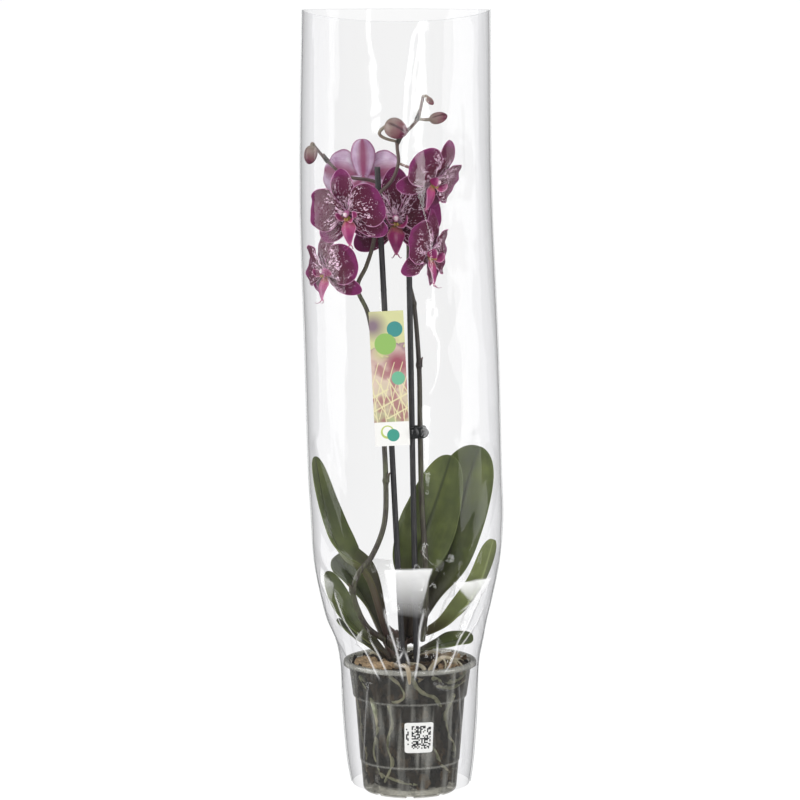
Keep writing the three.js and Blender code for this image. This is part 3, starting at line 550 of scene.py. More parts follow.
def leaf_cuticle(name, middle, dark, light, rib, flush):
    """Thick waxy leaf skin: parallel veins, a rib line, blotches, and a purple flush at the base."""
    made, tree = material(name)
    place = node(tree, "ShaderNodeTexCoord").outputs["Object"]
    uv = node(tree, "ShaderNodeUVMap", uv_map="surface")
    parts = node(tree, "ShaderNodeSeparateXYZ", {"Vector": uv})
    across, along = parts.outputs["X"], parts.outputs["Y"]
    blotch = node(tree, "ShaderNodeTexNoise", {
        "Vector": place, "Scale": per_mm(34), "Detail": 4.0, "Roughness": 0.6,
    })
    base = node(tree, "ShaderNodeValToRGB", {"Fac": blotch}, ((0.32, dark), (0.7, light), (0.5, middle)))
    off = node(tree, "ShaderNodeMath", {0: across, 1: 0.5}, operation="SUBTRACT")
    side = node(tree, "ShaderNodeMath", {0: off}, operation="ABSOLUTE")
    ribbed = inked(tree, base, rib, side, 0.012, 0.04, 0.75, 0.0)
    stretched = node(tree, "ShaderNodeMapping", {"Vector": uv, "Scale": (70, 3, 1)})
    veins = node(tree, "ShaderNodeTexNoise", {"Vector": stretched, "Scale": 1.0, "Detail": 3.0})
    veined = inked(tree, ribbed, light, veins, 0.45, 0.75, 0.0, 0.3)
    rimmed = inked(tree, veined, "#6d7a3f", side, 0.485, 0.5)
    flushed = inked(tree, rimmed, flush, along, 0.03, 0.3, 0.8, 0.0)
    pores = node(tree, "ShaderNodeTexNoise", {"Vector": place, "Scale": per_mm(1.1), "Detail": 2.0})
    fine = node(tree, "ShaderNodeMath", {0: veins, 1: 3.0, 2: pores}, operation="MULTIPLY_ADD")
    bump = node(tree, "ShaderNodeBump", {"Height": fine, "Strength": 0.3, "Distance": 0.12 * MM})
    wax = node(tree, "ShaderNodeMapRange", {"Value": blotch, "To Min": 0.3, "To Max": 0.46})
    shader = node(tree, "ShaderNodeBsdfPrincipled", {
        "Base Color": flushed, "Roughness": wax, "Normal": bump, "Specular IOR Level": 0.55,
        "Subsurface Weight": 0.08, "Subsurface Scale": 2 * MM, "Subsurface Radius": (0.5, 1.0, 0.2),
    })
    return finished(made, shader)


def stem_skin():
    """Flower stem: smooth green skin under purple-brown, streaked along its length, with pale flecks."""
    made, tree = material("stem_skin")
    place = node(tree, "ShaderNodeTexCoord").outputs["Object"]
    uv = node(tree, "ShaderNodeUVMap", uv_map="surface")
    along = node(tree, "ShaderNodeSeparateXYZ", {"Vector": uv}).outputs["Y"]
    streaked = node(tree, "ShaderNodeMapping", {"Vector": place, "Scale": (1, 1, 0.1)})
    streak = node(tree, "ShaderNodeTexNoise", {"Vector": streaked, "Scale": per_mm(1.6), "Detail": 4.0})
    zone = node(tree, "ShaderNodeTexNoise", {"Vector": place, "Scale": per_mm(60), "Detail": 2.0})
    both = node(tree, "ShaderNodeMix", {"Factor": 0.55, "A": streak, "B": zone}, data_type="FLOAT")
    base = node(tree, "ShaderNodeValToRGB", {"Fac": both}, (
        (0.36, "#251d1c"), (0.64, "#565a40"), (0.46, "#322a26"), (0.54, "#434032"),
    ))
    tipped = inked(tree, base, "#6f5754", along, 0.62, 0.95, 0.0, 0.65)
    fleck = node(tree, "ShaderNodeTexVoronoi", {"Vector": place, "Scale": per_mm(1.3)})
    flecked = inked(tree, tipped, "#a39c86", fleck, 0.1, 0.2, 0.35, 0.0)
    bump = node(tree, "ShaderNodeBump", {"Height": streak, "Strength": 0.35, "Distance": 0.3 * MM})
    shader = node(tree, "ShaderNodeBsdfPrincipled", {
        "Base Color": flecked, "Roughness": 0.42, "Normal": bump,
    })
    return finished(made, shader)


def bud_skin():
    """Closed bud: waxy, green-grey to dusky pink, darker along the seams, pink at the tip."""
    made, tree = material("bud_skin")
    place = node(tree, "ShaderNodeTexCoord").outputs["Object"]
    uv = node(tree, "ShaderNodeUVMap", uv_map="surface")
    along = node(tree, "ShaderNodeSeparateXYZ", {"Vector": uv}).outputs["Y"]
    seam = node(tree, "ShaderNodeAttribute", attribute_name="seam").outputs["Fac"]
    cloud = node(tree, "ShaderNodeTexNoise", {"Vector": place, "Scale": per_mm(7), "Detail": 3.0})
    drift = node(tree, "ShaderNodeMath", {0: cloud, 1: 0.5, 2: along}, operation="MULTIPLY_ADD")
    base = node(tree, "ShaderNodeValToRGB", {"Fac": drift}, (
        (0.3, "#847a6c"), (1.25, "#5f1f3a"), (0.62, "#86716b"), (0.95, "#74444e"),
    ))
    seamed = node(tree, "ShaderNodeMix", {"Factor": seam, "A": base, "B": "#38161f"}, data_type="RGBA")
    grain = node(tree, "ShaderNodeTexNoise", {"Vector": place, "Scale": per_mm(0.9)})
    bump = node(tree, "ShaderNodeBump", {"Height": grain, "Strength": 0.25, "Distance": 0.15 * MM})
    shader = node(tree, "ShaderNodeBsdfPrincipled", {
        "Base Color": seamed, "Roughness": 0.38, "Normal": bump,
        "Subsurface Weight": 0.15, "Subsurface Scale": 1.5 * MM, "Subsurface Radius": (1.0, 0.3, 0.3),
    })
    return finished(made, shader)


def petal_face():
    """Upper skin of a sepal or petal: velvety wine red, white flecks strung along the veins from the
    middle outwards, and a thin pale rim. Flecks are 1 to 2 mm, set in fans that follow the blade."""
    made, tree = material("petal_face")
    place = node(tree, "ShaderNodeTexCoord").outputs["Object"]
    uv = node(tree, "ShaderNodeUVMap", uv_map="surface")
    along = node(tree, "ShaderNodeSeparateXYZ", {"Vector": uv}).outputs["Y"]
    seed = node(tree, "ShaderNodeAttribute", attribute_name="seed").outputs["Fac"]
    margin = node(tree, "ShaderNodeAttribute", attribute_name="margin").outputs["Fac"]
    cloud = node(tree, "ShaderNodeTexNoise", {"Vector": place, "Scale": per_mm(13), "Detail": 2.0})
    drift = node(tree, "ShaderNodeMath", {0: cloud, 1: 0.6, 2: along}, operation="MULTIPLY_ADD")
    ground = node(tree, "ShaderNodeValToRGB", {"Fac": drift}, (
        (0.3, "#44081f"), (1.2, "#701c56"), (0.6, "#4f0b2c"), (0.9, "#5a103c"),
    ))
    shifted = node(tree, "ShaderNodeCombineXYZ", {"X": seed, "Y": seed, "Z": seed})
    fan = node(tree, "ShaderNodeMapping", {"Vector": uv, "Scale": (42, 23, 1)})
    lane = node(tree, "ShaderNodeVectorMath", {0: fan, 1: shifted}, operation="ADD")
    bend = node(tree, "ShaderNodeTexNoise", {"Vector": lane, "Scale": 0.5, "Detail": 2.0}).outputs["Color"]
    bent = node(tree, "ShaderNodeVectorMath", {0: bend, 1: (1.1, 1.1, 0), 2: lane}, operation="MULTIPLY_ADD")
    cells = node(tree, "ShaderNodeTexVoronoi", {"Vector": bent, "Scale": 1.0, "Randomness": 1.0})
    reach = node(tree, "ShaderNodeMapRange", {
        "Value": along, "From Min": 0.1, "From Max": 0.8, "To Min": 0.6, "To Max": 0.0,
    })
    patchy = node(tree, "ShaderNodeTexNoise", {
        "Vector": lane, "Scale": 0.16, "Detail": 3.0, "Roughness": 0.7,
    })
    spread = node(tree, "ShaderNodeMapRange", {
        "Value": patchy, "From Min": 0.36, "From Max": 0.62, "To Min": -0.36, "To Max": 0.12,
    })
    size = node(tree, "ShaderNodeMath", {0: reach, 1: spread}, operation="ADD")
    inside = node(tree, "ShaderNodeMath", {0: size, 1: cells}, operation="SUBTRACT")
    flecked = inked(tree, ground, "#e3c4d8", inside, 0.0, 0.07, 0.0, 0.9)
    rimmed = inked(tree, flecked, "#c98bb4", margin, 0.25, 0.8, 0.85, 0.0)

    veined = node(tree, "ShaderNodeMapping", {"Vector": uv, "Scale": (46, 3, 1)})
    veins = node(tree, "ShaderNodeTexNoise", {"Vector": veined, "Scale": 1.0, "Detail": 3.0})
    bump = node(tree, "ShaderNodeBump", {"Height": veins, "Strength": 0.5, "Distance": 0.25 * MM})
    shader = node(tree, "ShaderNodeBsdfPrincipled", {
        "Base Color": rimmed, "Roughness": 0.55, "Normal": bump, "Specular IOR Level": 0.25,
        "Subsurface Weight": 0.15, "Subsurface Scale": 1.0 * MM, "Subsurface Radius": (1.0, 0.35, 0.6),
    })
    return finished(made, shader)


def petal_back():
    """Under skin of a sepal or petal: pale lilac, a rosy stripe up the middle, fine veins, dark rim."""
    made, tree = material("petal_back")
    place = node(tree, "ShaderNodeTexCoord").outputs["Object"]
    uv = node(tree, "ShaderNodeUVMap", uv_map="surface")
    parts = node(tree, "ShaderNodeSeparateXYZ", {"Vector": uv})
    off = node(tree, "ShaderNodeMath", {0: parts.outputs["X"], 1: 0.5}, operation="SUBTRACT")
    side = node(tree, "ShaderNodeMath", {0: off}, operation="ABSOLUTE")
    cloud = node(tree, "ShaderNodeTexNoise", {"Vector": place, "Scale": per_mm(15), "Detail": 3.0})
    ground = node(tree, "ShaderNodeValToRGB", {"Fac": cloud}, (
        (0.3, "#b48fb3"), (0.7, "#e6d8e8"), (0.5, "#d3bbd4"),
    ))
    striped = inked(tree, ground, "#93305f", side, 0.05, 0.24, 0.85, 0.0)
    veined = node(tree, "ShaderNodeMapping", {"Vector": uv, "Scale": (40, 2.5, 1)})
    veins = node(tree, "ShaderNodeTexNoise", {"Vector": veined, "Scale": 1.0, "Detail": 3.0})
    lined = inked(tree, striped, "#a1668f", veins, 0.5, 0.75, 0.0, 0.5)
    margin = node(tree, "ShaderNodeAttribute", attribute_name="margin").outputs["Fac"]
    rimmed = inked(tree, lined, "#8a3a68", margin, 0.4, 2.2, 0.75, 0.0)
    bump = node(tree, "ShaderNodeBump", {"Height": veins, "Strength": 0.5, "Distance": 0.25 * MM})
    shader = node(tree, "ShaderNodeBsdfPrincipled", {
        "Base Color": rimmed, "Roughness": 0.5, "Normal": bump, "Sheen Weight": 0.15, "Sheen Tint": "#ead7ea",
        "Subsurface Weight": 0.15, "Subsurface Scale": 1.0 * MM, "Subsurface Radius": (1.0, 0.4, 0.8),
    })
    return finished(made, shader)


def lip_flesh():
    """Lip: thick glossy magenta flesh, orange and freckled towards its heel, pale on the lobes' rims."""
    made, tree = material("lip_flesh")
    place = node(tree, "ShaderNodeTexCoord").outputs["Object"]
    uv = node(tree, "ShaderNodeUVMap", uv_map="surface")
    along = node(tree, "ShaderNodeSeparateXYZ", {"Vector": uv}).outputs["Y"]
    cloud = node(tree, "ShaderNodeTexNoise", {"Vector": place, "Scale": per_mm(5), "Detail": 2.0})
    drift = node(tree, "ShaderNodeMath", {0: cloud, 1: 0.35, 2: along}, operation="MULTIPLY_ADD")
    base = node(tree, "ShaderNodeValToRGB", {"Fac": drift}, (
        (0.15, "#a8964a"), (1.1, "#9c4474"), (0.3, "#a0605c"), (0.45, "#9a2d66"), (0.75, "#821c5c"),
    ))
    dots = node(tree, "ShaderNodeTexVoronoi", {"Vector": place, "Scale": per_mm(1.4)})
    dotted = node(tree, "ShaderNodeMapRange", {
        "Value": dots, "From Min": 0.18, "From Max": 0.3, "To Min": 0.8, "To Max": 0.0,
    })
    heel = node(tree, "ShaderNodeMapRange", {
        "Value": along, "From Min": 0.15, "From Max": 0.5, "To Min": 1.0, "To Max": 0.0,
    })
    share = node(tree, "ShaderNodeMath", {0: dotted, 1: heel}, operation="MULTIPLY")
    freckled = node(tree, "ShaderNodeMix", {"Factor": share, "A": base, "B": "#7a2030"}, data_type="RGBA")
    margin = node(tree, "ShaderNodeAttribute", attribute_name="margin").outputs["Fac"]
    rimmed = inked(tree, freckled, "#e2a3c6", margin, 0.2, 0.9, 0.6, 0.0)
    bump = node(tree, "ShaderNodeBump", {"Height": cloud, "Strength": 0.3, "Distance": 0.4 * MM})
    shader = node(tree, "ShaderNodeBsdfPrincipled", {
        "Base Color": rimmed, "Roughness": 0.36, "Normal": bump,
        "Subsurface Weight": 0.06, "Subsurface Scale": 1.2 * MM, "Subsurface Radius": (1.0, 0.4, 0.6),
    })
    return finished(made, shader)


def column_flesh():
    """Column and stalk: pink-green at the stalk, mauve on the column and cream on its anther cap."""
    made, tree = material("column_flesh")
    place = node(tree, "ShaderNodeTexCoord").outputs["Object"]
    tone = node(tree, "ShaderNodeAttribute", attribute_name="tone").outputs["Fac"]
    base = node(tree, "ShaderNodeValToRGB", {"Fac": tone}, (
        (0.0, "#8b7a6c"), (1.0, "#ead9de"), (0.45, "#a86f84"), (0.6, "#b0508a"), (0.86, "#c884ad"),
    ))
    mottle = node(tree, "ShaderNodeTexNoise", {"Vector": place, "Scale": per_mm(2.5), "Detail": 3.0})
    mottled = inked(tree, base, "#7c4258", mottle, 0.45, 0.75, 0.0, 0.4)
    bump = node(tree, "ShaderNodeBump", {"Height": mottle, "Strength": 0.2, "Distance": 0.2 * MM})
    shader = node(tree, "ShaderNodeBsdfPrincipled", {
        "Base Color": mottled, "Roughness": 0.4, "Normal": bump,
        "Subsurface Weight": 0.15, "Subsurface Scale": 1.0 * MM, "Subsurface Radius": (1.0, 0.4, 0.5),
    })
    return finished(made, shader)


def dyed_bamboo():
    """Split bamboo cane dyed black: straight fibres, a dull sheen and paler rubbed streaks."""
    made, tree = material("dyed_bamboo")
    place = node(tree, "ShaderNodeTexCoord").outputs["Object"]
    drawn = node(tree, "ShaderNodeMapping", {"Vector": place, "Scale": (1, 1, 0.03)})
    fibre = node(tree, "ShaderNodeTexNoise", {
        "Vector": drawn, "Scale": per_mm(0.7), "Detail": 5.0, "Roughness": 0.6,
    })
    base = node(tree, "ShaderNodeValToRGB", {"Fac": fibre}, (
        (0.35, "#17171a"), (0.72, "#55514d"), (0.55, "#2a292c"),
    ))
    bump = node(tree, "ShaderNodeBump", {"Height": fibre, "Strength": 0.6, "Distance": 0.25 * MM})
    shader = node(tree, "ShaderNodeBsdfPrincipled", {"Base Color": base, "Roughness": 0.5, "Normal": bump})
    return finished(made, shader)


def black_polystyrene():
    """Moulded black polystyrene: high gloss with tiny ripples and rubbed marks."""
    made, tree = material("black_polystyrene")
    place = node(tree, "ShaderNodeTexCoord").outputs["Object"]
    ripple = node(tree, "ShaderNodeTexNoise", {"Vector": place, "Scale": per_mm(3), "Detail": 2.0})
    base = node(tree, "ShaderNodeMix", {"Factor": ripple, "A": "#08090a", "B": "#17181a"}, data_type="RGBA")
    worn = node(tree, "ShaderNodeMapRange", {"Value": ripple, "To Min": 0.08, "To Max": 0.22})
    bump = node(tree, "ShaderNodeBump", {"Height": ripple, "Strength": 0.3, "Distance": 0.2 * MM})
    shader = node(tree, "ShaderNodeBsdfPrincipled", {
        "Base Color": base, "Roughness": worn, "IOR": 1.55, "Normal": bump,
    })
    return finished(made, shader)


def spring_steel():
    """Drawn spring wire: bright, with a fine uneven polish."""
    made, tree = material("spring_steel")
    place = node(tree, "ShaderNodeTexCoord").outputs["Object"]
    drawn = node(tree, "ShaderNodeTexNoise", {"Vector": place, "Scale": per_mm(0.4)})
    rough = node(tree, "ShaderNodeMapRange", {"Value": drawn, "To Min": 0.2, "To Max": 0.4})
    shader = node(tree, "ShaderNodeBsdfPrincipled", {
        "Base Color": "#b9bbbd", "Metallic": 1.0, "Roughness": rough,
    })
    return finished(made, shader)


def stamped(tree, picture, flat, discs):
    """A picture with round patches of ink on it: (centre, radius, blur, ink), in millimetres from the
    card's lower left corner."""
    for centre, radius, blur, ink in discs:
        away = node(tree, "ShaderNodeVectorMath", {0: flat, 1: (*centre, 0)}, operation="DISTANCE")
        picture = inked(tree, picture, ink, away.outputs["Value"], radius - blur, radius + blur, 1.0, 0.0)
    return picture


def printed_card(size):
    """Offset-printed, varnished card: a soft picture of tied straw on a pink and green ground, plain
    round badges and a white foot. It carries no words."""
    made, tree = material("printed_card")
    uv = node(tree, "ShaderNodeUVMap", uv_map="surface")
    up = node(tree, "ShaderNodeSeparateXYZ", {"Vector": uv}).outputs["Y"]
    flat = node(tree, "ShaderNodeVectorMath", {0: uv, 1: (*size, 0)}, operation="MULTIPLY")
    cloud = node(tree, "ShaderNodeTexNoise", {"Vector": flat, "Scale": 0.07, "Detail": 2.0}).outputs["Color"]
    soft = node(tree, "ShaderNodeSeparateXYZ", {"Vector": cloud})
    height = node(tree, "ShaderNodeMath", {0: soft.outputs["X"], 1: 0.5, 2: up}, operation="MULTIPLY_ADD")
    field = node(tree, "ShaderNodeValToRGB", {"Fac": height}, (
        (0.35, "#aab486"), (1.4, "#8f7f86"), (0.55, "#cbbfa4"), (0.75, "#d9c4b4"), (0.95, "#c3a7a2"),
        (1.15, "#cfd09a"),
    ))
    rosy = node(tree, "ShaderNodeMapRange", {"Value": soft.outputs["Y"], "From Min": 0.48, "From Max": 0.62})
    middle = node(tree, "ShaderNodeMapRange", {"Value": up, "From Min": 0.85, "From Max": 0.6, "To Max": 0.8})
    share = node(tree, "ShaderNodeMath", {0: rosy, 1: middle}, operation="MULTIPLY")
    blush = node(tree, "ShaderNodeMix", {"Factor": share, "A": field, "B": "#a2666e"}, data_type="RGBA")
    picture = stamped(tree, blush, flat, (
        ((3, 108), 9, 6, "#86727e"), ((23, 74), 9, 5, "#9c5563"), ((9, 84), 6, 4, "#c9c592"),
    ))
    # Straws lie in four headings: degrees, pitch in millimetres, and where on the card they start and stop.
    straws = ((18, 7.0, 0.2, 0.62), (-28, 9.0, 0.2, 0.5), (62, 11.0, 0.2, 0.42), (-4, 8.0, 0.16, 0.46))
    for turn, pitch, low, high in straws:
        laid = node(tree, "ShaderNodeMapping", {"Vector": flat, "Rotation": (0, 0, math.radians(turn))})
        straw = node(tree, "ShaderNodeTexWave", {
            "Vector": laid, "Scale": WAVE_PERIOD / pitch, "Distortion": 2.5, "Detail Scale": 0.3,
        })
        thin = node(tree, "ShaderNodeMapRange", {
            "Value": straw, "From Min": 0.94, "From Max": 0.99, "To Max": 0.85,
        })
        start = node(tree, "ShaderNodeMath", {0: up, 1: low}, operation="GREATER_THAN")
        stop = node(tree, "ShaderNodeMath", {0: up, 1: high}, operation="LESS_THAN")
        band = node(tree, "ShaderNodeMath", {0: start, 1: stop}, operation="MULTIPLY")
        share = node(tree, "ShaderNodeMath", {0: thin, 1: band}, operation="MULTIPLY")
        picture = node(tree, "ShaderNodeMix", {
            "Factor": share, "A": picture, "B": "#e3dcae",
        }, data_type="RGBA")
    picture = inked(tree, picture, "#f1f0ec", up, 0.175, 0.18, 1.0, 0.0)
    edge = 0.15
    picture = stamped(tree, picture, flat, (
        ((22.5, 104.5), 7.0, edge, "#3f8f8b"), ((13.5, 91.5), 9.6, edge, "#8fb862"),
        ((23.5, 60.5), 6.0, edge, "#6fb593"), ((11.5, 12.5), 6.0, edge, "#b9c96a"),
        ((11.5, 13.0), 4.4, edge, "#f1f0ec"), ((16.5, 9.5), 5.6, edge, "#3f9a88"),
    ))
    grain = node(tree, "ShaderNodeTexNoise", {"Vector": flat, "Scale": 2.0})
    bump = node(tree, "ShaderNodeBump", {"Height": grain, "Strength": 0.08, "Distance": 0.1 * MM})
    shader = node(tree, "ShaderNodeBsdfPrincipled", {
        "Base Color": picture, "Roughness": 0.32, "Normal": bump,
    })
    return finished(made, shader)


def label_paper(size):
    """Coated white label: a field of random dark cells, a narrow strip of them beside it and a white
    border."""
    made, tree = material("label_paper")
    uv = node(tree, "ShaderNodeUVMap", uv_map="surface")
    flat = node(tree, "ShaderNodeVectorMath", {0: uv, 1: (*size, 0)}, operation="MULTIPLY")
    cell = 1.25
    cells = node(tree, "ShaderNodeVectorMath", {0: flat, 1: (cell, cell, 1)}, operation="SNAP")
    toss = node(tree, "ShaderNodeTexWhiteNoise", {"Vector": cells})
    dark = node(tree, "ShaderNodeMath", {0: toss, 1: 0.5}, operation="GREATER_THAN")
    parts = node(tree, "ShaderNodeSeparateXYZ", {"Vector": flat})
    masks = []
    for left, right, low, high in ((5, 19, 3, 20), (1, 3, 5, 18)):
        share = 1.0
        limits = (
            ("X", left * cell, "GREATER_THAN"), ("X", right * cell, "LESS_THAN"),
            ("Y", low * cell, "GREATER_THAN"), ("Y", high * cell, "LESS_THAN"),
        )
        for axis, limit, test in limits:
            passed = node(tree, "ShaderNodeMath", {0: parts.outputs[axis], 1: limit}, operation=test)
            share = node(tree, "ShaderNodeMath", {0: passed, 1: share}, operation="MULTIPLY")
        masks.append(share)
    both = node(tree, "ShaderNodeMath", {0: masks[0], 1: masks[1]}, operation="MAXIMUM")
    printed = node(tree, "ShaderNodeMath", {0: dark, 1: both}, operation="MULTIPLY")
    face = node(tree, "ShaderNodeMix", {"Factor": printed, "A": "#f3f3f0", "B": "#26272a"}, data_type="RGBA")
    shader = node(tree, "ShaderNodeBsdfPrincipled", {"Base Color": face, "Roughness": 0.4})
    return finished(made, shader)


# ---------------------------------------------------------------- pot
def wall_radius(height):
    """Outside radius of the pot's wall: straight lines between the heights of its outline."""
    return np.interp(height, POT_OUTLINE[:, 0], POT_OUTLINE[:, 1])


def make_pot(plastic):
    """One skin from the middle of the base, up the wall, out and down the rim, turned and thickened.

    The base is domed so that the pot stands on a ring, and its faces are left out where it drains.
    """
    foot = POT_OUTLINE[0, 1]
    neck_height, neck = POT_OUTLINE[-1]
    ledge = POT_TOP - POT_WALL
    base_rise, dome_rise, rounding, sides = 2 * MM, 3.2 * MM, 1.2 * MM, 144
    base = [
        (0.0, base_rise), (foot * 0.45, base_rise), (foot * 0.55, dome_rise), (foot * 0.66, dome_rise),
        (foot * 0.78, 0.0),
    ]
    wall = [(foot - 2 * MM, 0.0), (foot + 0.1 * MM, 2 * MM)]
    steps = [(radius, height) for height, radius in POT_OUTLINE[1:-1]]
    rim = [
        (neck, neck_height), (neck + 0.3 * MM, ledge), (RIM_RADIUS - POT_WALL, ledge),
        (RIM_RADIUS - POT_WALL + 0.2 * MM, POT_TOP - RIM_BAND),
    ]
    surface = turned(rounded([*base, *wall, *steps, *rim], rounding, 5), sides)
    middle = surface["points"][surface["faces"]].mean(1)
    angle = np.degrees(np.arctan2(middle[:, 1], middle[:, 0]))
    pitch = 360 / DRAIN_HOLES
    off_hole = np.abs((angle - pitch / 2) % pitch - pitch / 2)
    half_angle = math.degrees(DRAIN_WIDTH / 2 / foot)
    reach = np.hypot(middle[:, 0], middle[:, 1])
    keep = (off_hole >= half_angle) | (reach <= foot * 0.84) | (middle[:, 2] >= DRAIN_HEIGHT)
    surface["uv"] = surface["uv"].reshape(-1, 4, 2)[keep].reshape(-1, 2)
    surface["faces"] = surface["faces"][keep]
    surface["skin"] = surface["skin"][keep]
    pot = piece("clear_pot", [surface], [plastic], ["pot"], sharp=50)
    shell = pot.modifiers.new("wall", "SOLIDIFY")
    shell.thickness = POT_WALL
    shell.offset = -1


def make_label(paper, size):
    """A label on the wall: a grid bent round the pot, its corners rounded by narrowing the end rows."""
    width, height = size[0] * MM, size[1] * MM
    middle = cad_box("pot_label")[2]
    turn = math.atan2(middle[1], middle[0])
    corner = 2.2 * MM
    up = np.linspace(-1, 1, 41)[:, None] * height / 2
    past = np.clip(np.abs(up) - (height / 2 - corner), 0, corner)
    half = width / 2 - corner + np.sqrt(corner**2 - past**2)
    across = np.linspace(-1, 1, 25)[None, :] * half
    level = middle[2] + up + 0 * across
    reach = wall_radius(level) + GAP
    angle = turn + across / wall_radius(middle[2])
    uv = np.stack([across / width + 0.5, (up + 0 * across) / height + 0.5], -1)
    thickness = np.full(level.shape, LABEL_THICKNESS)
    skins = two_skins(about_axis(angle, reach, level), spokes(angle), thickness, (0, 0))
    skins[0]["uv"] = uv.reshape(-1, 2)[skins[0]["faces"]].reshape(-1, 2)
    piece("pot_sticker", skins, [paper], ["pot_label"])


# ---------------------------------------------------------------- bark and roots
def inside_wall(points, margin):
    """Points moved inwards where they would come nearer to the wall's inner face than the margin."""
    reach = np.hypot(points[..., 0], points[..., 1])
    limit = wall_radius(points[..., 2]) - POT_WALL - margin
    scale = np.minimum(1, limit / np.maximum(reach, MM))
    return points * np.stack([scale, scale, np.ones_like(scale)], -1)


def flakes(centres, sizes, turns, draw, rows=4, columns=8, rough=0.2):
    """Many bark flakes: superellipsoids with the given half-sizes, each dented by random factors,
    turned by its own three axes and moved to its centre."""
    tilt = np.linspace(-np.pi / 2, np.pi / 2, rows + 1)[:, None]
    spin = np.linspace(0, 2 * np.pi, columns + 1)[None, :]
    blocky = 0.55
    ring = np.abs(np.cos(tilt)) ** blocky
    shape = np.stack([
        ring * np.sign(np.cos(spin)) * np.abs(np.cos(spin)) ** blocky,
        ring * np.sign(np.sin(spin)) * np.abs(np.sin(spin)) ** blocky,
        np.sign(np.sin(tilt)) * np.abs(np.sin(tilt)) ** blocky + 0 * spin,
    ], -1)
    dents = 1 + draw.uniform(-rough, rough, (len(centres), rows + 1, columns + 1))
    dents[:, :, -1] = dents[:, :, 0]
    dents[:, 0] = dents[:, 0, :1]
    dents[:, -1] = dents[:, -1, :1]
    local = shape * dents[..., None] * sizes[:, None, None, :]
    return np.einsum("nrck,nkj->nrcj", local, turns) + centres[:, None, None, :]


def random_turns(outward, draw, lean):
    """Three axes for each flake: its flat side faces outward, leant at random and spun about it."""
    flat = unit(outward + draw.normal(0, lean, outward.shape))
    loose = draw.normal(0, 1, outward.shape)
    long = unit(loose - flat * (loose * flat).sum(-1, keepdims=True))
    return np.stack([long, np.cross(flat, long), flat], 1)


def make_bark(bark):
    """A dark core, two layers of flakes pressed against the wall and a loose layer on top."""
    draw = np.random.default_rng(11)
    floor = 7 * MM
    top = MIX_TOP - 3 * MM
    inner = wall_radius(np.linspace(floor, top, 12)) - POT_WALL - 7 * MM
    levels = np.linspace(floor, top - 2 * MM, 12)
    core_profile = [(0, floor), *zip(inner, levels), (inner[-1] * 0.5, top), (0, top)]
    core = turned(rounded(core_profile, 2 * MM, 2), 64, tone=0.1)

    layers = [core]
    for count, depth, tones in ((430, 2.6, (0.05, 0.8)), (330, 6.5, (0.0, 0.45))):
        angle = draw.uniform(0, 2 * np.pi, count)
        level = draw.uniform(floor + 3 * MM, MIX_TOP - 1 * MM, count)
        reach = wall_radius(level) - POT_WALL - depth * MM
        sizes = draw.uniform((5, 3, 1.2), (10, 6.5, 2.8), (count, 3)) * MM
        turns = random_turns(spokes(angle), draw, 0.35)
        points = flakes(about_axis(angle, reach, level), sizes, turns, draw)
        points[..., 2] = np.maximum(points[..., 2], floor)
        tone = draw.uniform(*tones, count)[:, None, None]
        layers.append(patch(inside_wall(points, 0.3 * MM), tone=tone))

    count = 260
    reach = (inner[-1] + 4 * MM) * np.sqrt(draw.uniform(0, 1, count))
    angle = draw.uniform(0, 2 * np.pi, count)
    level = MIX_TOP + draw.uniform(-2, 3, count) * MM
    centres = about_axis(angle, reach, level)
    upward = np.broadcast_to((0.0, 0.0, 1.0), centres.shape)
    sizes = draw.uniform((4, 2.5, 1.2), (9, 6, 2.8), (count, 3)) * MM
    points = flakes(centres, sizes, random_turns(upward, draw, 0.45), draw)
    tone = (draw.uniform(0.1, 1, count) ** 0.9)[:, None, None]
    layers.append(patch(inside_wall(points, 0.5 * MM), tone=tone))
    piece("bark_mix_flakes", layers, [bark], ["bark_mix"], sharp=40)


CHIP_TURNS = {"bark_chip_front": -0.5, "bark_chip_left": 0.9, "bark_chip_right": 0.3}  # radians


def make_chip(name, bark, turn, seed):
    """One big flake on top: a blunt slab in its CAD box, ridged like split bark and dented."""
    low, high, middle = cad_box(name)
    draw = np.random.default_rng(seed)
    half = (high - low) / 2
    sizes = np.array([[half[0] * 1.12, half[1] * 0.85, half[2] * 1.05]])
    cos, sin = math.cos(turn), math.sin(turn)
    axes = np.array([[(cos, sin, 0.1), (-sin, cos, 0.05), (0, 0, 1)]])
    points = flakes((middle + (0, 0, 2.5 * MM))[None], sizes, axes, draw, 16, 36, 0.1)[0]
    ridges = 0.7 * MM * np.sin(points @ axes[0, 1] / (0.9 * MM))
    points[..., 2] += ridges * np.sign(points[..., 2] - middle[2])
    piece(name + "_split", [patch(points, tone=0.97)], [bark], [name], sharp=60)


def root_tube(points, radius, seed, brown=0.0, reference=(0.3, 0.2, 1)):
    """A root: a rod along its route whose radius wanders a little and narrows to a blunt tip."""
    share = np.linspace(0, 1, 60)
    radii = radius * (1 + 0.14 * waves(share, share * 0, seed, 5, 0.3)) * (1 - 0.35 * smooth(share, 0.9, 1))
    return swept(route(points, len(share)), radii, 12, reference, tone=brown)


def wall_root(stations, radius, seed, brown=0.0):
    """A root that creeps on the inside of the wall, through (degrees from the front, height in mm)."""
    degrees, height = np.array(stations, float).T
    level = height * MM
    reach = wall_radius(level) - POT_WALL - radius * 0.9 - 0.3 * MM
    return root_tube(about_axis(np.radians(degrees - 90), reach, level), radius, seed, brown)


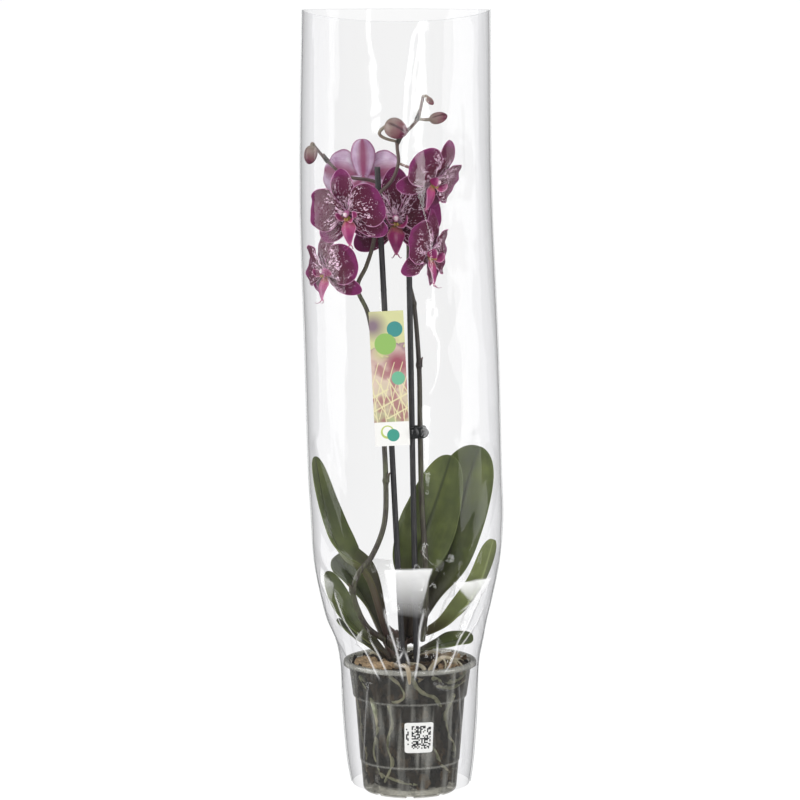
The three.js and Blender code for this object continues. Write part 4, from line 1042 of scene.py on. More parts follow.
def make_roots(velamen):
    """Roots pressed on the wall, a few that lie on the mix, the one that climbs over the rim and the
    arch with its side shoots."""
    # Roots that show through the wall: (degrees from the front, height in mm) stations, and radius in mm.
    routes = (
        ([(2, 112), (8, 102), (16, 97), (26, 93), (36, 84)], 2.1),
        ([(-20, 113), (-9, 104), (-6, 96), (-13, 90), (-22, 91)], 1.6),
        ([(24, 111), (42, 106), (62, 108), (78, 113)], 2.0),
        ([(28, 104), (48, 100), (70, 103), (96, 98)], 1.7),
        ([(20, 50), (30, 44), (38, 33), (49, 25), (60, 20)], 1.7),
        ([(-46, 22), (-25, 18), (-5, 14), (14, 13)], 1.5),
        ([(-60, 108), (-44, 88), (-40, 64), (-47, 40), (-38, 18)], 2.4),
        ([(-24, 86), (-20, 70), (-27, 50), (-22, 32), (-34, 14)], 2.0),
        ([(52, 92), (44, 76), (50, 56), (66, 42), (72, 22)], 2.2),
    )
    made = [wall_root(stations, radius * MM, seed) for seed, (stations, radius) in enumerate(routes)]
    draw = np.random.default_rng(5)
    for seed in range(12):
        start = 100 + seed * 15.5
        drift = np.cumsum(draw.uniform(-16, 16, 6))
        height = np.linspace(draw.uniform(85, 110), draw.uniform(14, 45), 6)
        stations = np.stack([start + drift, height], -1)
        made.append(wall_root(stations, draw.uniform(1.4, 2.4) * MM, seed + 20, 0.2))
    lying = (
        [(-16, -14, 3), (-30, -22, 6), (-42, -26, 4), (-49, -16, 1)],
        [(-4, -8, 4), (10, -26, 5), (13, -42, 2), (8, -49, -4)],
        [(30, -8, 2), (40, -2, 6), (47, 8, 3), (46, 20, -2)],
        [(-20, 20, 3), (-34, 30, 6), (-38, 36, -1)],
        [(4, 26, 3), (20, 36, 6), (30, 40, -2)],
    )
    for seed, points in enumerate(lying):
        made.append(root_tube(above_mix(points), 1.9 * MM, seed + 50, 0.35))
    piece("roots_in_pot", made, [velamen])

    rim = RIM_RADIUS / MM
    clear = 2.6  # from the rim to the middle of the root that climbs over it
    top = (POT_TOP - MIX_TOP) / MM + clear
    rim_points = [
        (-15, -14, 4), (-9, -34, 6), (-5, -rim + 8, top + 1), (-3, -rim + 1, top + 0.8),
        (-1.5, -rim - clear + 0.2, top - 2), (-0.5, -rim - clear - 0.4, -3),
    ]
    rim_root = root_tube(above_mix(rim_points), ROOT_RADIUS * 0.9, 70, 0.55, (1, 0, 0))
    piece("rim_root", [rim_root], [velamen], ["root_over_rim"])
    arch_points = [(17, -36, 2), (22, -33, 8.6), (29, -30, 13.6), (37, -27, 11.6), (43, -24, 3)]
    arch = root_tube(above_mix(arch_points), ROOT_RADIUS * 0.95, 71, 0.45)
    side_shoots = [
        root_tube(above_mix(points), 0.8 * MM, seed, 0.3)
        for seed, points in enumerate((
            [(29, -30, 13.6), (32, -34, 9), (31, -36, 3)],
            [(36, -27, 11.5), (41, -32, 12), (47, -33, 7)],
        ))
    ]
    piece("arched_root", [arch, *side_shoots], [velamen], ["root_arch"])


# ---------------------------------------------------------------- stakes
LEFT_STAKE = (np.array((-0.8, -19, 12)) * MM, above_mix((-29.2, -7, 452)))
RIGHT_STAKE = (np.array((7.8, -17, 12)) * MM, above_mix((-1, -7.1, 368)))


def on_stake(stake, rise):
    """The point of a stake's axis at a rise above the mix, in millimetres."""
    foot, top = stake
    share = (MIX_TOP + rise * MM - foot[2]) / (top[2] - foot[2])
    return mix(foot, top, share)


def beside_stake(stake, rise, degrees, spare=0.0):
    """A plant point beside a stake, in millimetres, turned from +X to +Y and clear of it by the gap."""
    reach = STAKE_RADIUS + SPIKE_NODE_RADIUS + GAP + spare * MM
    turn = math.radians(degrees)
    point = on_stake(stake, rise) + reach * np.array((math.cos(turn), math.sin(turn), 0))
    return tuple((point - (0, 0, MIX_TOP)) / MM)


def make_stakes(bamboo):
    """Straight canes, a little uneven in thickness, with a low ring at each joint of the bamboo."""
    first_joint, half_pitch = 55 * MM, 65 * MM
    for name, (foot, top) in (("stake_left", LEFT_STAKE), ("stake_right", RIGHT_STAKE)):
        share = np.linspace(0, 1, 260)
        path = mix(foot, top, share[:, None])
        height = share * np.linalg.norm(top - foot)
        from_joint = (height - first_joint + half_pitch) % (2 * half_pitch) - half_pitch
        ring = 0.16 * np.exp(-(from_joint / (1.1 * MM)) ** 2)
        radii = STAKE_RADIUS * (0.94 + ring * 0.35 + 0.02 * waves(share, 0 * share, 3, 5, 0.2))
        piece(name + "_cane", [swept(path, radii, 20, blunt=0.25)], [bamboo], [name], sharp=50)


# ---------------------------------------------------------------- blades
def outline(along, base, widest, tip=0.02, fullness=2.0):
    """Half-width share: a sine from the base to the widest place, then a superellipse to the tip."""
    rising = mix(base, 1, np.sin(np.clip(along / widest, 0, 1) * np.pi / 2))
    past = np.clip((along - widest) / (1 - widest), 0, 1)
    falling = mix(tip, 1, np.clip(1 - past**fullness, 0, 1) ** (1 / fullness))
    return np.where(along < widest, rising, falling)


def blade(spine, half_width, base, widest, side_base, side_tip=None, fold=(0, 0), cup=0.0,
          shape=(90, 40), fullness=2.0, before=0.0, thickness=MM, relief=None, edge=8):
    """A leaf, sepal, petal or lobe: a sheet that runs along a spine, closed on both skins.

    spine gives the centre line at shares from 0 to 1, and the sheet starts the length before ahead
    of it. The side directions point across it at base and tip, fold lifts both halves into a
    rounded V (radians at base and tip), cup bows them, and relief adds a height from the share
    across, the share along and the distance from the middle.
    """
    rows, columns = shape
    along = np.sin(np.linspace(0, 1, rows + 1) * np.pi / 2)
    step = 1e-3
    near = spine(np.array([0.0, step]))
    rate = (near[1] - near[0]) / step
    along = along - (1 - along) ** 3 * before / np.linalg.norm(rate)
    centre = spine(np.clip(along, 0, 1)) + np.minimum(along, 0)[:, None] * rate
    forward = unit(spine(np.clip(along + step, 0, 1)) - spine(np.clip(along - step, 0, 1)))
    forward = np.where(along[:, None] < 0, unit(rate), forward)
    side_tip = side_base if side_tip is None else side_tip
    side = mix(np.array(side_base, float), np.array(side_tip, float), np.clip(along, 0, 1)[:, None])
    side = unit(side - forward * (side * forward).sum(-1, keepdims=True))
    normal = np.cross(side, forward)
    lean = mix(fold[0], fold[1], np.clip(along, 0, 1))[:, None]
    half = half_width * outline(np.clip(along, 0, 1), base, widest, fullness=fullness)[:, None]
    even = np.linspace(-1, 1, columns + 1)[None, :]
    across = 0.55 * even + 0.45 * np.sin(even * np.pi / 2)
    offset = across * half
    keel = 1.0 * MM
    rise = (np.sqrt(offset**2 + keel**2) - keel) * np.sin(lean) + cup * half * across**2
    if relief is not None:
        rise = rise + relief(across, np.clip(along, 0, 1)[:, None], offset)
    points = centre[:, None] + side[:, None] * (offset * np.cos(lean))[..., None]
    points = points + normal[:, None] * rise[..., None]
    down, over = np.gradient(points, axis=0), np.gradient(points, axis=1)
    normals = np.cross(over, down)
    lengths = np.linalg.norm(normals, axis=-1, keepdims=True)
    tiny = 1e-14  # where the grid closes to a point there is no area to take a normal from
    normals = np.where(lengths > tiny, normals / np.maximum(lengths, tiny), normal[:, None])
    taper = np.sqrt(np.clip(1 - np.abs(across) ** edge, 0, 1))
    close = np.clip(along, 0, 1)[:, None]
    depth = thickness * (0.08 + 0.92 * taper * np.sqrt(np.clip(1 - close**14, 0, 1)))
    margin = (half - np.abs(offset)) / MM
    return two_skins(points, normals, depth + 0 * offset, margin=margin)


# ---------------------------------------------------------------- leaves
# Each leaf: its spine's plant points, the side directions at base and tip, half-width and folds.
LEAVES = {
    "leaf_tall_left": (
        [(-24, 2, 34), (-42, -1, 86), (-58, 0, 98), (-69, 2, 115), (-77.5, 4, 145), (-86, 3, 191)],
        (0.2, 1, 0.2), (0.5, 0.85, 0.1), 22, (0.9, 0.15)),
    "leaf_back_left": (
        [(-25, 11, 24), (-42, 24, 58), (-57, 31, 80), (-69, 31, 95)],
        (0.2, 1, 0.2), (0.35, 0.6, 0.6), 19, (0.5, 0.2)),
    "leaf_low_left": (
        [(-24, -5, 14), (-45, -10, 33), (-62, -11, 57), (-75, -6, 88)],
        (0.3, 1, 0.3), (0.7, 0.6, 0.3), 13, (0.6, 0.2)),
    "leaf_lowest_left": (
        [(-23, 4, 8), (-40, 4, 20), (-54, 2, 30), (-66, 0, 43)],
        (0.1, 1, 0), (0.2, 1, 0), 12, (0.35, 0.1)),
    "leaf_front_right": (
        [(-2, 6, 36), (1, 9, 76), (4, 10, 97), (12, 9, 118), (21, 7, 142), (37, 4, 192)],
        (1, 0.1, 0), (0.95, -0.1, -0.3), 28.5, (1.0, 0.1)),
    "leaf_back_right": (
        [(2, 14, 28), (18, 20, 66), (34, 22, 96), (44, 20, 132), (53, 17, 168), (63, 13, 199)],
        (0.9, -0.3, -0.3), (0.9, -0.35, -0.3), 30, (0.8, 0.1)),
    "leaf_mid_right": (
        [(4, 3, 24), (36, -8, 42), (60, -10, 74), (75, -5, 117)],
        (-0.3, -1, 0.3), (-0.6, -0.8, 0.5), 17, (0.55, 0.15)),
    "leaf_low_right": (
        [(2, 2, 10), (24, -4, 19), (42, -8, 25), (57, -10, 27)],
        (0, -1, 0), (0.2, -1, -0.4), 15, (0.4, 0.1)),
}


def leaf_relief(seed):
    """Groove on the midrib, halves that arch, and a margin that waves gently along the leaf."""
    phase = seed * 2.4

    def relief(across, along, offset):
        """Groove, arch and wave added up, as a height in metres."""
        groove = -0.7 * MM * np.exp(-(offset / (1.5 * MM)) ** 2) * smooth(1 - along, 0.03, 0.25)
        arch = 0.05 * np.abs(offset) * np.cos(across * np.pi / 2)
        wave = 1.0 * MM * across**2 * np.sin(2 * np.pi * (1.7 * along + 0.2 * np.sign(across)) + phase)
        return groove + arch + wave * smooth(along, 0.15, 0.5)

    return relief


def make_leaves(top, under):
    """Every leaf of the rosette, grown out of the crown."""
    for seed, (name, (points, side_base, side_tip, half_width, folds)) in enumerate(LEAVES.items()):
        surfaces = blade(
            partial(curve_through, above_mix(points)), half_width * MM, 0.28, 0.6, side_base, side_tip,
            folds, shape=(110, 56), fullness=2.2, before=9 * MM, thickness=LEAF_THICKNESS,
            relief=leaf_relief(seed), edge=10,
        )
        piece(name + "_blade", surfaces, [top, under], [name])


def make_crown(sheath):
    """The short stem: an upright core wrapped by the leaves' clasping bases, left and right in turn.

    Each base is a strip of a cone, open on one side, that flares and thins to its upper edge.
    """
    low, high, middle = cad_box("crown")
    radius = (high[0] - low[0]) / 2
    core = turned([
        (0, low[2]), (radius * 0.6, low[2]), (radius * 0.85, MIX_TOP), (radius * 0.8, middle[2]),
        (radius * 0.45, high[2] - 6 * MM), (0, high[2] - 3 * MM),
    ], 28, middle[:2])
    made = [core]
    # Each base: heading in degrees, start and top above the mix in millimetres, share of the radius.
    wraps = (
        (180, 0, 20, 1.0), (10, 4, 26, 0.95), (170, 9, 31, 0.86), (-8, 14, 35, 0.78), (188, 20, 37, 0.66),
    )
    for heading, start, top, share in wraps:
        turn = np.radians(np.linspace(-125, 125, 41))[None, :]
        up = np.linspace(0, 1, 31)[:, None]
        crest = 1 - 0.32 * np.abs(turn / turn.max()) ** 1.5
        height = MIX_TOP + (start - 4) * MM + (top - start + 4) * MM * up * crest
        reach = radius * share * (0.98 + 0.16 * up**2) + 0.25 * MM * np.cos(9 * turn)
        angle = np.radians(heading) + turn * (1 - 0.25 * up)
        points = about_axis(angle, reach, height) + (*middle[:2], 0)
        thickness = 1.6 * MM * (1 - 0.6 * up) * np.sqrt(1 - 0.97 * np.abs(turn / turn.max()) ** 6)
        made += two_skins(points, spokes(angle), thickness, (0, 0))
    piece("crown_sheaths", made, [sheath], ["crown"])


# ---------------------------------------------------------------- flower spikes
LEFT_SPIKE = [
    (-24, -12, 27), (-38, -24, 40), (-46, -29, 55), (-51, -31, 75), (-45, -30, 92), (-35, -27, 104),
    (-23.5, -22, 132), beside_stake(LEFT_STAKE, 172, 200, 1), beside_stake(LEFT_STAKE, 250, 180, 2),
    (-37.5, -6, 321), (-47, -6, 345), (-39, -6, 364), beside_stake(LEFT_STAKE, 388, 190),
    beside_stake(LEFT_STAKE, 412, 215), beside_stake(LEFT_STAKE, 428, 270), (-16, -12, 441),
    (-10.5, -10, 456), (-11, -9, 475), (-3, -8, 484), (6.5, -7, 495), (11.5, -7, 515),
]
RIGHT_SPIKE = [
    (11, -10.5, 26), (14.5, -12, 60), (13.6, -11, 101), beside_stake(RIGHT_STAKE, 150, 25, 2),
    beside_stake(RIGHT_STAKE, 215, 25, 1.6), beside_stake(RIGHT_STAKE, 275, 25, 1.6),
    beside_stake(RIGHT_STAKE, 330, 60, 0.8), beside_stake(RIGHT_STAKE, 352, 95, 0.8),
    (-2, 17, 384), (-8, 22, 404), (-15, 23, 422), (-31, 22, 437), (-58, 16, 443), (-75, 8, 458),
    (-85, 4, 470),
]


def bract(path, at, facing, length=9 * MM, radius=2.6 * MM):
    """A scale leaf at a joint: a pointed strip rolled round the stem, a little proud at its tip."""
    ahead = unit(path[at + 2] - path[at - 2])
    out = np.array(facing, float)
    out = unit(out - ahead * (out @ ahead))
    beside = np.cross(ahead, out)
    up = np.linspace(0, 1, 17)[:, None]
    turn = np.radians(115) * np.linspace(-1, 1, 21)[None, :] * (1 - 0.93 * up**1.8)
    reach = radius * (1.06 + 0.4 * up**2.5)
    outward = np.cos(turn)[..., None] * out + np.sin(turn)[..., None] * beside
    points = path[at] + outward * reach[..., None] + ahead * (length * up - 2 * MM)[..., None]
    return two_skins(points, outward, (0.5 - 0.3 * up) * MM + 0 * turn, (0, 0))


def make_spike(name, points, knots, thick, thin, skin):
    """A flower stem: a rod that narrows upwards, swollen at its joints, each with a bract."""
    swell, swell_reach = 0.75 * MM, 2.4 * MM
    path = route(above_mix(points), 420)
    share = np.linspace(0, 1, len(path))
    knot_points = above_mix([points[knot] for knot in knots])
    away = np.linalg.norm(path[:, None] - knot_points[None], axis=-1)
    swelling = (swell * np.exp(-(away / swell_reach) ** 2)).sum(1)
    radii = mix(thick, thin, share**1.4) * MM + swelling
    made = [swept(path, radii, 20, blunt=0.6)]
    for number, knot in enumerate(away.argmin(0)):
        facing = ((-1, -0.3, 0), (1, -0.5, 0))[number % 2]
        at = int(np.clip(knot, 3, len(path) - 4))
        made += bract(path, at, facing, radius=radii[at] * 0.96)
    piece(name + "_stem", made, [skin], [name])


# ---------------------------------------------------------------- buds
# Each bud: where its stalk leaves, its bend and its middle, the way it points, radius and length.
BUDS = {
    "bud_large": ((-11, -9, 475), (-39, -10, 480), (-12.5, -21, 487), (0.9, -0.3, -0.5), 9.6, 21.5),
    "bud_small": ((6.5, -7, 495), (13, -8, 494), (25, -8, 496), (1, -0.1, 0.25), 5.6, 16.5),
    "bud_tip": ((11.5, -7, 515), (15, -8, 516), (17.5, -9, 511), (0.6, -0.1, -0.6), 3, 9),
    "bud_far_left": ((-85, 4, 470), (-88, 1, 476), (-88.5, -5, 463), (-0.2, -0.2, -1), 6.3, 17),
}


def make_bud(name, start, bend, middle, pointing, radius, length, skin):
    """An egg, blunt at the stalk and drawn out at the tip, pinched along the seams of its sepals."""
    start, bend, middle = above_mix([start, bend, middle])
    axis = unit(np.array(pointing, float))
    side = unit(np.cross(axis, (0.1, 0.2, 1)))
    up = np.cross(axis, side)
    share = np.linspace(0, 1, 41)[:, None]
    spin = np.linspace(0, 2 * np.pi, 61)[None, :]
    tilt = share * np.pi
    girth = np.sin(tilt) * (1 - 0.13 * np.cos(tilt + 0.5)) ** -1 * (1 - 0.12 * smooth(share, 0.6, 1))
    twist = spin + 0.35 * share
    near_seam = np.abs(np.angle(np.exp(3j * twist))) / 3
    seam = np.exp(-(near_seam / 0.13) ** 2) * smooth(share, 0.15, 0.45)
    reach = radius * MM * girth * (1 - 0.07 * seam + 0.02 * np.cos(3 * twist))
    centre = -np.cos(tilt) * length * MM / 2
    points = middle + axis * centre[..., None]
    points = points + (side * np.cos(spin)[..., None] + up * np.sin(spin)[..., None]) * reach[..., None]
    egg = patch(points, seam=seam)
    stalk_path = bezier([start, bend, middle - axis * length * 0.35 * MM], np.linspace(0, 1, 30))
    stalk = swept(stalk_path, np.linspace(1.3, 1.6, 30) * MM, 12, (0.3, 0.4, 1), seam=0.0)
    stalk["uv"] = stalk["uv"] * (1, 0.15)
    piece(name + "_sepals", [egg, stalk], [skin], [name])


# ---------------------------------------------------------------- flowers
# Each flower: middle, facing, roll in degrees, sweep back in mm, where its stalk leaves, size.
FLOWERS = {
    "flower_1": ((20, -18, 443), (0.62, -0.68, -0.38), -25, 8, (-10.5, -10, 456), 0.9),
    "flower_2": ((-42, 34, 440), (0.05, 0.95, 0.2), 0, 10, (-31, 22, 437), 0.95),
    "flower_3": ((-54.5, -32, 414.5), (-0.3, -0.93, -0.25), 8, 4, beside_stake(LEFT_STAKE, 412, 215), 0.95),
    "flower_4": ((-13.2, 11.5, 406), (0.06, -1, -0.02), 0, 3, (-8, 22, 404), 1.1),
    "flower_5": ((15, -12, 377), (0.86, -0.5, -0.1), -15, 6, beside_stake(RIGHT_STAKE, 352, 95, 0.8), 0.95),
    "flower_6": ((-73, -12, 361), (-0.7, -0.7, -0.12), 5, 13, (-47, -6, 345), 0.87),
}
SEPAL_LENGTH, SEPAL_HALF = 41 * MM, 11.8 * MM
PETAL_LENGTH, PETAL_HALF = 37 * MM, 21.5 * MM
PETAL_ANGLE = 76
COLUMN_RADIUS = 2.4 * MM
LIP_LENGTH, LIP_HALF = 24 * MM, 8 * MM
SIDE_LOBE_HALF = 5.2 * MM


def floral_spine(degrees, start, length, lift, bend, sweep):
    """A bowed line out from the flower's middle, at an angle clockwise from its top sepal."""
    turn = math.radians(degrees)
    reach = (start, mix(start, length, 0.5), length)
    height = (lift, lift + bend, lift + bend * 0.4 - sweep)
    controls = [(math.sin(turn) * out, math.cos(turn) * out, up) for out, up in zip(reach, height)]
    return partial(bezier, controls), (math.cos(turn), -math.sin(turn), 0)


def petal_relief(seed, ruffle, length):
    """Margins that ruffle round the blade, a shallow groove in the middle and a soft unevenness."""
    phase = seed * 1.7

    def relief(across, along, offset):
        """Two waves round the blade, groove and unevenness added up, as a height in metres."""
        round_blade = np.arctan2(offset, (along - 0.35) * length)
        edge = np.maximum(np.abs(across), along) ** 5
        wave = np.sin(5 * round_blade + phase) + 0.5 * np.sin(11 * round_blade + 2 * phase)
        groove = -0.35 * MM * np.exp(-(offset / (1.4 * MM)) ** 2) * (1 - along)
        uneven = 0.5 * MM * waves(offset / MM, along * length / MM, seed, 4, 22.0)
        return ruffle * edge * wave + groove + uneven * smooth(along, 0.1, 0.4)

    return relief


def egg_patch(centre, radii, rows=10, columns=16, **values):
    """An ellipsoid with the given half-sizes."""
    tilt = np.linspace(-np.pi / 2, np.pi / 2, rows + 1)[:, None]
    spin = np.linspace(0, 2 * np.pi, columns + 1)[None, :]
    ball = np.stack([np.cos(tilt) * np.cos(spin), np.cos(tilt) * np.sin(spin), np.sin(tilt) + 0 * spin], -1)
    return patch(np.array(centre) + ball * np.array(radii), uv=np.zeros((rows + 1, columns + 1, 2)), **values)


def lip_surfaces():
    """The lip in the flower's frame: heel, hanging middle lobe, two raised side lobes, the two-horned
    callus between them and a pair of curled tendrils at the tip."""
    foot = -COLUMN_RADIUS - 2.9 * MM
    hang = [(0, foot, 5 * MM), (0, foot - LIP_LENGTH * 0.2, 16 * MM), (0, foot - LIP_LENGTH, 14 * MM)]

    def keel(across, along, offset):
        """A ridge along the middle that fades to the tip, and sides that flare."""
        ridge = 0.9 * MM * np.exp(-(offset / (1.2 * MM)) ** 2) * (1 - along)
        flare = 1.2 * MM * across**2 * np.sin(along * 5)
        return ridge + flare

    made = blade(partial(bezier, hang), LIP_HALF, 0.35, 0.45, (1, 0, 0), fold=(0.35, 0.5), shape=(50, 28),
                 fullness=1.35, thickness=0.9 * MM, relief=keel, edge=6)
    tip = bezier(hang, np.array([0.96]))[0]
    share = np.linspace(0, 1, 26)
    for hand in (-1, 1):
        wing = [
            (hand * MM, foot, 5.5 * MM), (hand * 8 * MM, foot - MM, 9 * MM),
            (hand * 8.5 * MM, foot + 8 * MM, 13 * MM),
        ]
        outwards = (0, 0, hand)
        made += blade(partial(bezier, wing), SIDE_LOBE_HALF, 0.5, 0.5, outwards, cup=0.35 * -hand,
                      shape=(30, 20), thickness=0.8 * MM, edge=6)
        curl = np.stack([
            hand * (0.6 + 5.5 * share - 2 * share**2) * MM,
            tip[1] - 3.5 * MM * np.sin(share * 2.4),
            tip[2] + (7 * share**1.5) * MM,
        ], -1)
        made.append(swept(curl, (0.55 - 0.4 * share) * MM, 8, (0.2, 0.9, 0.4), margin=2.0))
    made.append(egg_patch((0, foot, 5.2 * MM), (2.6 * MM, 2.6 * MM, 2.6 * MM), margin=2.0))
    for hand in (-1, 1):
        horn = (hand * 1.2 * MM, foot + 0.6 * MM, 9.5 * MM)
        made.append(egg_patch(horn, (1.1 * MM, 1.5 * MM, 1.9 * MM), margin=2.0))
    return made


def column_surfaces(stalk_end):
    """The column, a short rod that bends forward, its anther cap, and the stalk back to the stem."""
    share = np.linspace(0, 1, 24)
    path = bezier([(0, 0, 1.4 * MM), (0, 0.4 * MM, 5 * MM), (0, -0.6 * MM, 9 * MM)], share)
    girth = COLUMN_RADIUS * (0.8 + 0.32 * np.sin(share * np.pi * 0.8))
    tone = np.concatenate([np.full(4, 0.6), mix(0.6, 0.85, share), np.full(4, 0.85)])[:, None]
    column = swept(path, girth, 18, (1, 0, 0), tone=tone)
    cap = egg_patch((0, 0.2 * MM, 10.3 * MM), (1.9 * MM, 2.1 * MM, 1.6 * MM), 10, 16, tone=1.0)
    controls = [(0, 0, COLUMN_RADIUS), (0, 0, -np.linalg.norm(stalk_end) / 2), stalk_end * 0.7, stalk_end]
    share = np.linspace(0, 1, 48)
    stalk_tone = np.concatenate([np.full(4, 0.5), mix(0.5, 0, share), np.zeros(4)])[:, None]
    stalk = swept(bezier(controls, share), mix(1.7, 1.35, share) * MM, 12, (0.31, 0.93, 0.2), tone=stalk_tone)
    return [column, cap, stalk]


def placed(surfaces, axes, centre, size):
    """Surfaces of a flower's own frame scaled, turned to its three axes and moved to its centre."""
    for each in surfaces:
        each["points"] = centre + size * (each["points"] @ axes)
    return surfaces


def make_flower(name, centre, facing, roll, sweep, stalk_start, size, looks):
    """Three sepals, two petals, lip and column in a frame that faces the given way."""
    number = int(name[-1])
    centre, start = above_mix([centre, stalk_start])
    forward = unit(np.array(facing, float))
    across = unit(np.cross((0, 0, 1), forward))
    up = np.cross(forward, across)
    cos, sin = math.cos(math.radians(roll)), math.sin(math.radians(roll))
    axes = np.array([across * cos + up * sin, up * cos - across * sin, forward])
    sweep = sweep * MM
    sepals = []
    for index, degrees in enumerate((0, 128, 232)):
        spine, side = floral_spine(degrees, -1 * MM, SEPAL_LENGTH, 0, 2.5 * MM, sweep)
        relief = petal_relief(number * 7 + index, 0.5 * MM, SEPAL_LENGTH)
        sepals += blade(spine, SEPAL_HALF, 0.34, 0.55, side, cup=0.12, shape=(60, 36), fullness=1.9,
                        thickness=PETAL_THICKNESS, relief=relief)
    for each in sepals:
        each["values"]["seed"] = np.full(len(each["points"]), number * 3.7)
    front, back = looks["face"], looks["back"]
    sepals = placed(sepals, axes, centre, size)
    piece(name + "_sepal_whorl", sepals, [front, back], [name + "_sepals"])

    for hand, word in ((-1, "left"), (1, "right")):
        spine, side = floral_spine(hand * PETAL_ANGLE, 3.0 * MM, PETAL_LENGTH, 3.2 * MM, 3 * MM, sweep)
        relief = petal_relief(number * 11 + hand, 1.5 * MM, PETAL_LENGTH)
        petal = blade(spine, PETAL_HALF, 0.14, 0.55, side, cup=0.1, shape=(84, 56), fullness=2.3,
                      before=1.5 * MM, thickness=PETAL_THICKNESS, relief=relief)
        for each in petal:
            each["values"]["seed"] = np.full(len(each["points"]), number * 5.3 + hand)
        node_name = f"{name}_petal_{word}"
        petal = placed(petal, axes, centre, size)
        piece(node_name + "_blade", petal, [front, back], [node_name])

    lip = placed(lip_surfaces(), axes, centre, size)
    piece(name + "_lip_lobes", lip, [looks["lip"], looks["lip"]], [name + "_lip"])
    gap_to_spike = SPIKE_NODE_RADIUS * 0.6
    stalk_end = start + unit(centre - start) * gap_to_spike
    local_end = axes @ (stalk_end - centre) / size
    column = placed(column_surfaces(local_end), axes, centre, size)
    piece(name + "_column_and_stalk", column, [looks["column"]], [name + "_column"])


# ---------------------------------------------------------------- clips
def make_clip(name, stake, spike_point, plastic, steel):
    """A claw clip round a stake and a stem: two toothed jaws, a sprung hinge and round finger tabs.

    The jaws are a racetrack band with rounded edges; each tooth is a short finger across the mouth.
    """
    stem = above_mix(spike_point)
    axis = on_stake(stake, spike_point[2])
    middle = (axis + stem) / 2
    reach = np.linalg.norm((stem - axis)[:2]) / 2
    hole = SPIKE_NODE_RADIUS + 0.4 * MM
    wall = 1.5 * MM
    height = 11 * MM
    heading = unit(np.append((stem - axis)[:2], 0))
    beside = np.cross((0, 0, 1), heading)

    turn = np.linspace(0, 2 * np.pi, 97)
    shift = reach * np.tanh(np.cos(turn) * 6)
    mid_radius = hole + wall / 2
    tooth_radius, hinge_radius, arm_radius = 0.75 * MM, 1.5 * MM, 1.4 * MM
    tab_place, tab_radius, tab_front = 4.6 * MM, 4.4 * MM, hole + wall + 2.4 * MM
    section = np.linspace(0, 2 * np.pi, 25)
    fat = np.sign(np.cos(section)) * np.abs(np.cos(section)) ** 0.5 * wall / 2
    tall = np.sign(np.sin(section)) * np.abs(np.sin(section)) ** 0.35 * height / 2
    scallop = 1 + 0.12 * np.cos(4 * np.pi * (tall / height))[:, None]
    radius = mid_radius + fat[:, None] * scallop
    band = np.stack([
        shift + radius * np.cos(turn), radius * np.sin(turn), tall[:, None] + 0 * turn,
    ], -1)
    made = [patch(band.transpose(1, 0, 2))]
    for tooth in np.linspace(-0.38, 0.38, 5):
        level = tooth * height
        bar_side = np.linspace(-3.2, 3.2, 12) * MM
        bar_front = -(hole + wall * 0.75) - 0.6 * MM * np.cos(np.linspace(-1.4, 1.4, 12))
        bar = np.stack([bar_side, bar_front, np.full(12, level)], -1)
        made.append(swept(bar, tooth_radius, 10, (0, 1, 0)))
    hinge = np.array([(0, hole + wall + MM, share * height) for share in np.linspace(-0.42, 0.42, 14)])
    made.append(swept(hinge, hinge_radius, 14, (1, 0, 0), blunt=0.3))
    for hand in (-1, 1):
        tilt = np.linspace(-np.pi / 2, np.pi / 2, 13)[:, None]
        spin = np.linspace(0, 2 * np.pi, 29)[None, :]
        dish = np.stack([
            hand * tab_place + tab_radius * np.cos(tilt) ** 0.4 * np.cos(spin),
            -tab_front - 0.9 * MM * np.sin(tilt) * (1 - 0.45 * np.cos(tilt)) + 0 * spin,
            tab_radius * np.cos(tilt) ** 0.4 * np.sin(spin),
        ], -1)
        made.append(patch(dish[:, ::-1]))
        arm_start = np.array((0.2 * MM * hand, -(hole + wall * 0.6), 0))
        arm_end = np.array((3.4 * MM * hand, -(hole + wall + 2.2 * MM), 0))
        arm = mix(arm_start, arm_end, np.linspace(0, 1, 10)[:, None])
        made.append(swept(arm, arm_radius, 10, (0, 0, 1)))
    coils, coil_radius, wire_radius = 6, 2.0 * MM, 0.28 * MM
    turns = np.linspace(0, 2 * np.pi * coils, 150)
    coil = about_axis(turns, coil_radius, np.linspace(-0.3, 0.3, 150) * height) + (0, hole + wall + MM, 0)
    made.append(swept(coil, wire_radius, 6, (0, 0, 1), skin=1))
    axes = np.array([heading, beside, (0, 0, 1)])
    piece(name + "_claw", placed(made, axes, middle, 1.0), [plastic, steel], [name], sharp=45)


# ---------------------------------------------------------------- tag
def make_tag(card, size):
    """The card in front of the left stake, leaning with it, its long edges curled a little forward."""
    width, height = size[0] * MM, size[1] * MM
    middle = cad_box("plant_tag")[2]
    up = unit(LEFT_STAKE[1] - LEFT_STAKE[0])
    front = np.array((0, -1.0, 0))
    front = unit(front - up * (front @ up))
    across = np.cross(up, front)
    u = np.linspace(-1, 1, 25)[None, :]
    v = np.linspace(-1, 1, 61)[:, None]
    curl = 0.5 * MM * u**2 + 0.6 * MM * smooth(v, 0.5, 1) * (1 + 0.5 * u)
    points = middle + across * (u * width / 2)[..., None] + up * (v * height / 2)[..., None]
    points = points + front * curl[..., None]
    normals = np.broadcast_to(front, points.shape)
    skins = two_skins(points, normals, np.full(points.shape[:2], CARD_THICKNESS), (0, 0))
    piece("printed_tag", skins, [card], ["plant_tag"], sharp=40)


